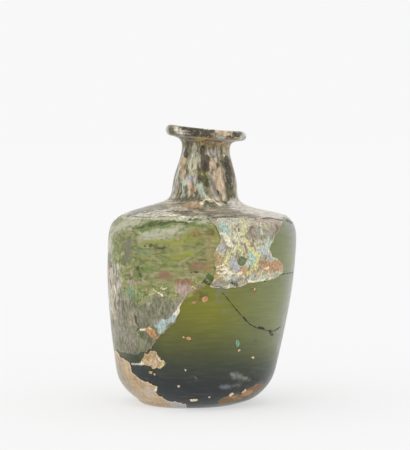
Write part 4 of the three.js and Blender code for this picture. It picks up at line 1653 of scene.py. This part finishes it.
def crusts() -> tuple[Crust, ...]:
    """The weathering skins, from the mouth down.

    Returns:
        Each skin, ready to build.
    """
    grey = CrustFinish("silica_crust_grey_beige", "c6b99e", "948b72", "574f38", stretch=(1, 1, 4.0),
                       contrast=1.25, rim_and_highlight_share=0.1, upright=(95.0, 119.0), shade=0.38)
    dense = CrustFinish("silica_crust_grey_olive", "aca287", "7f7d64", "565840", scale_size=0.8,
                        patch_size=6.0, stretch=(1.0, 1.0, 2.6), contrast=0.7, rim_and_highlight_share=0.12,
                        shade=0.26)
    tan = CrustFinish("lime_soil_crust_tan", "d2b994", "b89e7a", "94805f", scale_size=0.8,
                      patch_size=7.0, stretch=(1.0, 1.0, 2.0), contrast=0.6, rim="efe0bd",
                      rim_and_highlight_share=0.35, shade=0.14)
    pearly = CrustFinish("pearly_silica_scales", "e4dfbe", "b3a785", "7f6d48", scale_size=0.6,
                         patch_size=2.2, stretch=(0.8, 0.8, 1.6), roughness=0.45, coat=0.35,
                         rim="f3ead0", rim_and_highlight_share=0.14, pearl=0.5, shade=0.34)
    flake = CrustFinish("loose_soil_flakes_and_glints", "d9b888", "c08f52", "8a5f30", scale_size=0.6,
                        patch_size=2.0, contrast=1.2, rim="efdcb4", rim_and_highlight_share=0.12)
    glue = CrustFinish("old_brown_join", "3d3626", "2b261b", "1d1a14", rim_and_highlight_share=0.0)
    flake_marks = tuple(Mark(tint, outline, 0, 0.8, 1.2, True, wander=0.3) for tint, outline in FLAKES_AND_GLINTS)
    return (
        Crust("neck_crust", grey, above_shoulder, heights=(81.5, None), spacing=0.62, ragged=0.9,
              marks=(*SHOULDER_MARKS, *LIP_AND_NECK_MARKS), seed=2, thinning=thin_at_shoulder),
        Crust("side_crust", dense, on_dull_sides, heights=(3.0, 85.5), spacing=0.62, ragged=0.7,
              marks=(*BODY_STAINS_AND_SHEEN, *DENSE_CRUST_MARKS), seed=4, thinning=thin_at_top),
        Crust("tan_crust", tan, inside_on_front(TAN_CRUST), turns=(-200.0, -60.0),
              heights=(0.4, 32.0), spacing=0.4, ragged=0.45, marks=TAN_CRUST_MARKS, seed=6),
        Crust("pearly_patch", pearly, inside_on_front(IRIDESCENT_PATCH), turns=(-105.0, -15.0),
              heights=(52.0, 85.5), spacing=0.32, ragged=0.35, ragged_size=1.5,
              marks=PATCH_MARKS, seed=8, thickness=0.28),
        Crust("flakes", flake, inside_on_front(*(outline for _, outline in FLAKES_AND_GLINTS)),
              turns=(-165.0, -30.0), heights=(1.5, 58.0), spacing=0.34, ragged=0.22, ragged_size=1.1,
              lift=0.1, thickness=0.3, marks=(*flake_marks, *FLAKE_MARKS), seed=10),
        Crust("join_lines", glue, along_join_lines, turns=(-150.0, 0.0), heights=(1.0, 86.0),
              spacing=0.24, ragged=0.07, ragged_size=0.9, lift=0.0, thickness=0.12, seed=12),
    )


def main() -> None:
    """Builds the scene, piece by piece."""
    logging.basicConfig(level=logging.INFO, format="%(message)s")
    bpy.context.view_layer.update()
    VIEW.build()
    studio = Studio()
    studio.add_floor()
    studio.add_light()
    vessel = GlassVessel(stains_and_sheen=BODY_STAINS_AND_SHEEN, films=FILMS).build()
    LOG.info("%s: %d faces", vessel.name, len(vessel.data.polygons))
    for crust in crusts():
        piece = crust.build()
        LOG.info("%s: %d faces", piece.name, len(piece.data.polygons))


if __name__ == "__main__":
    main()
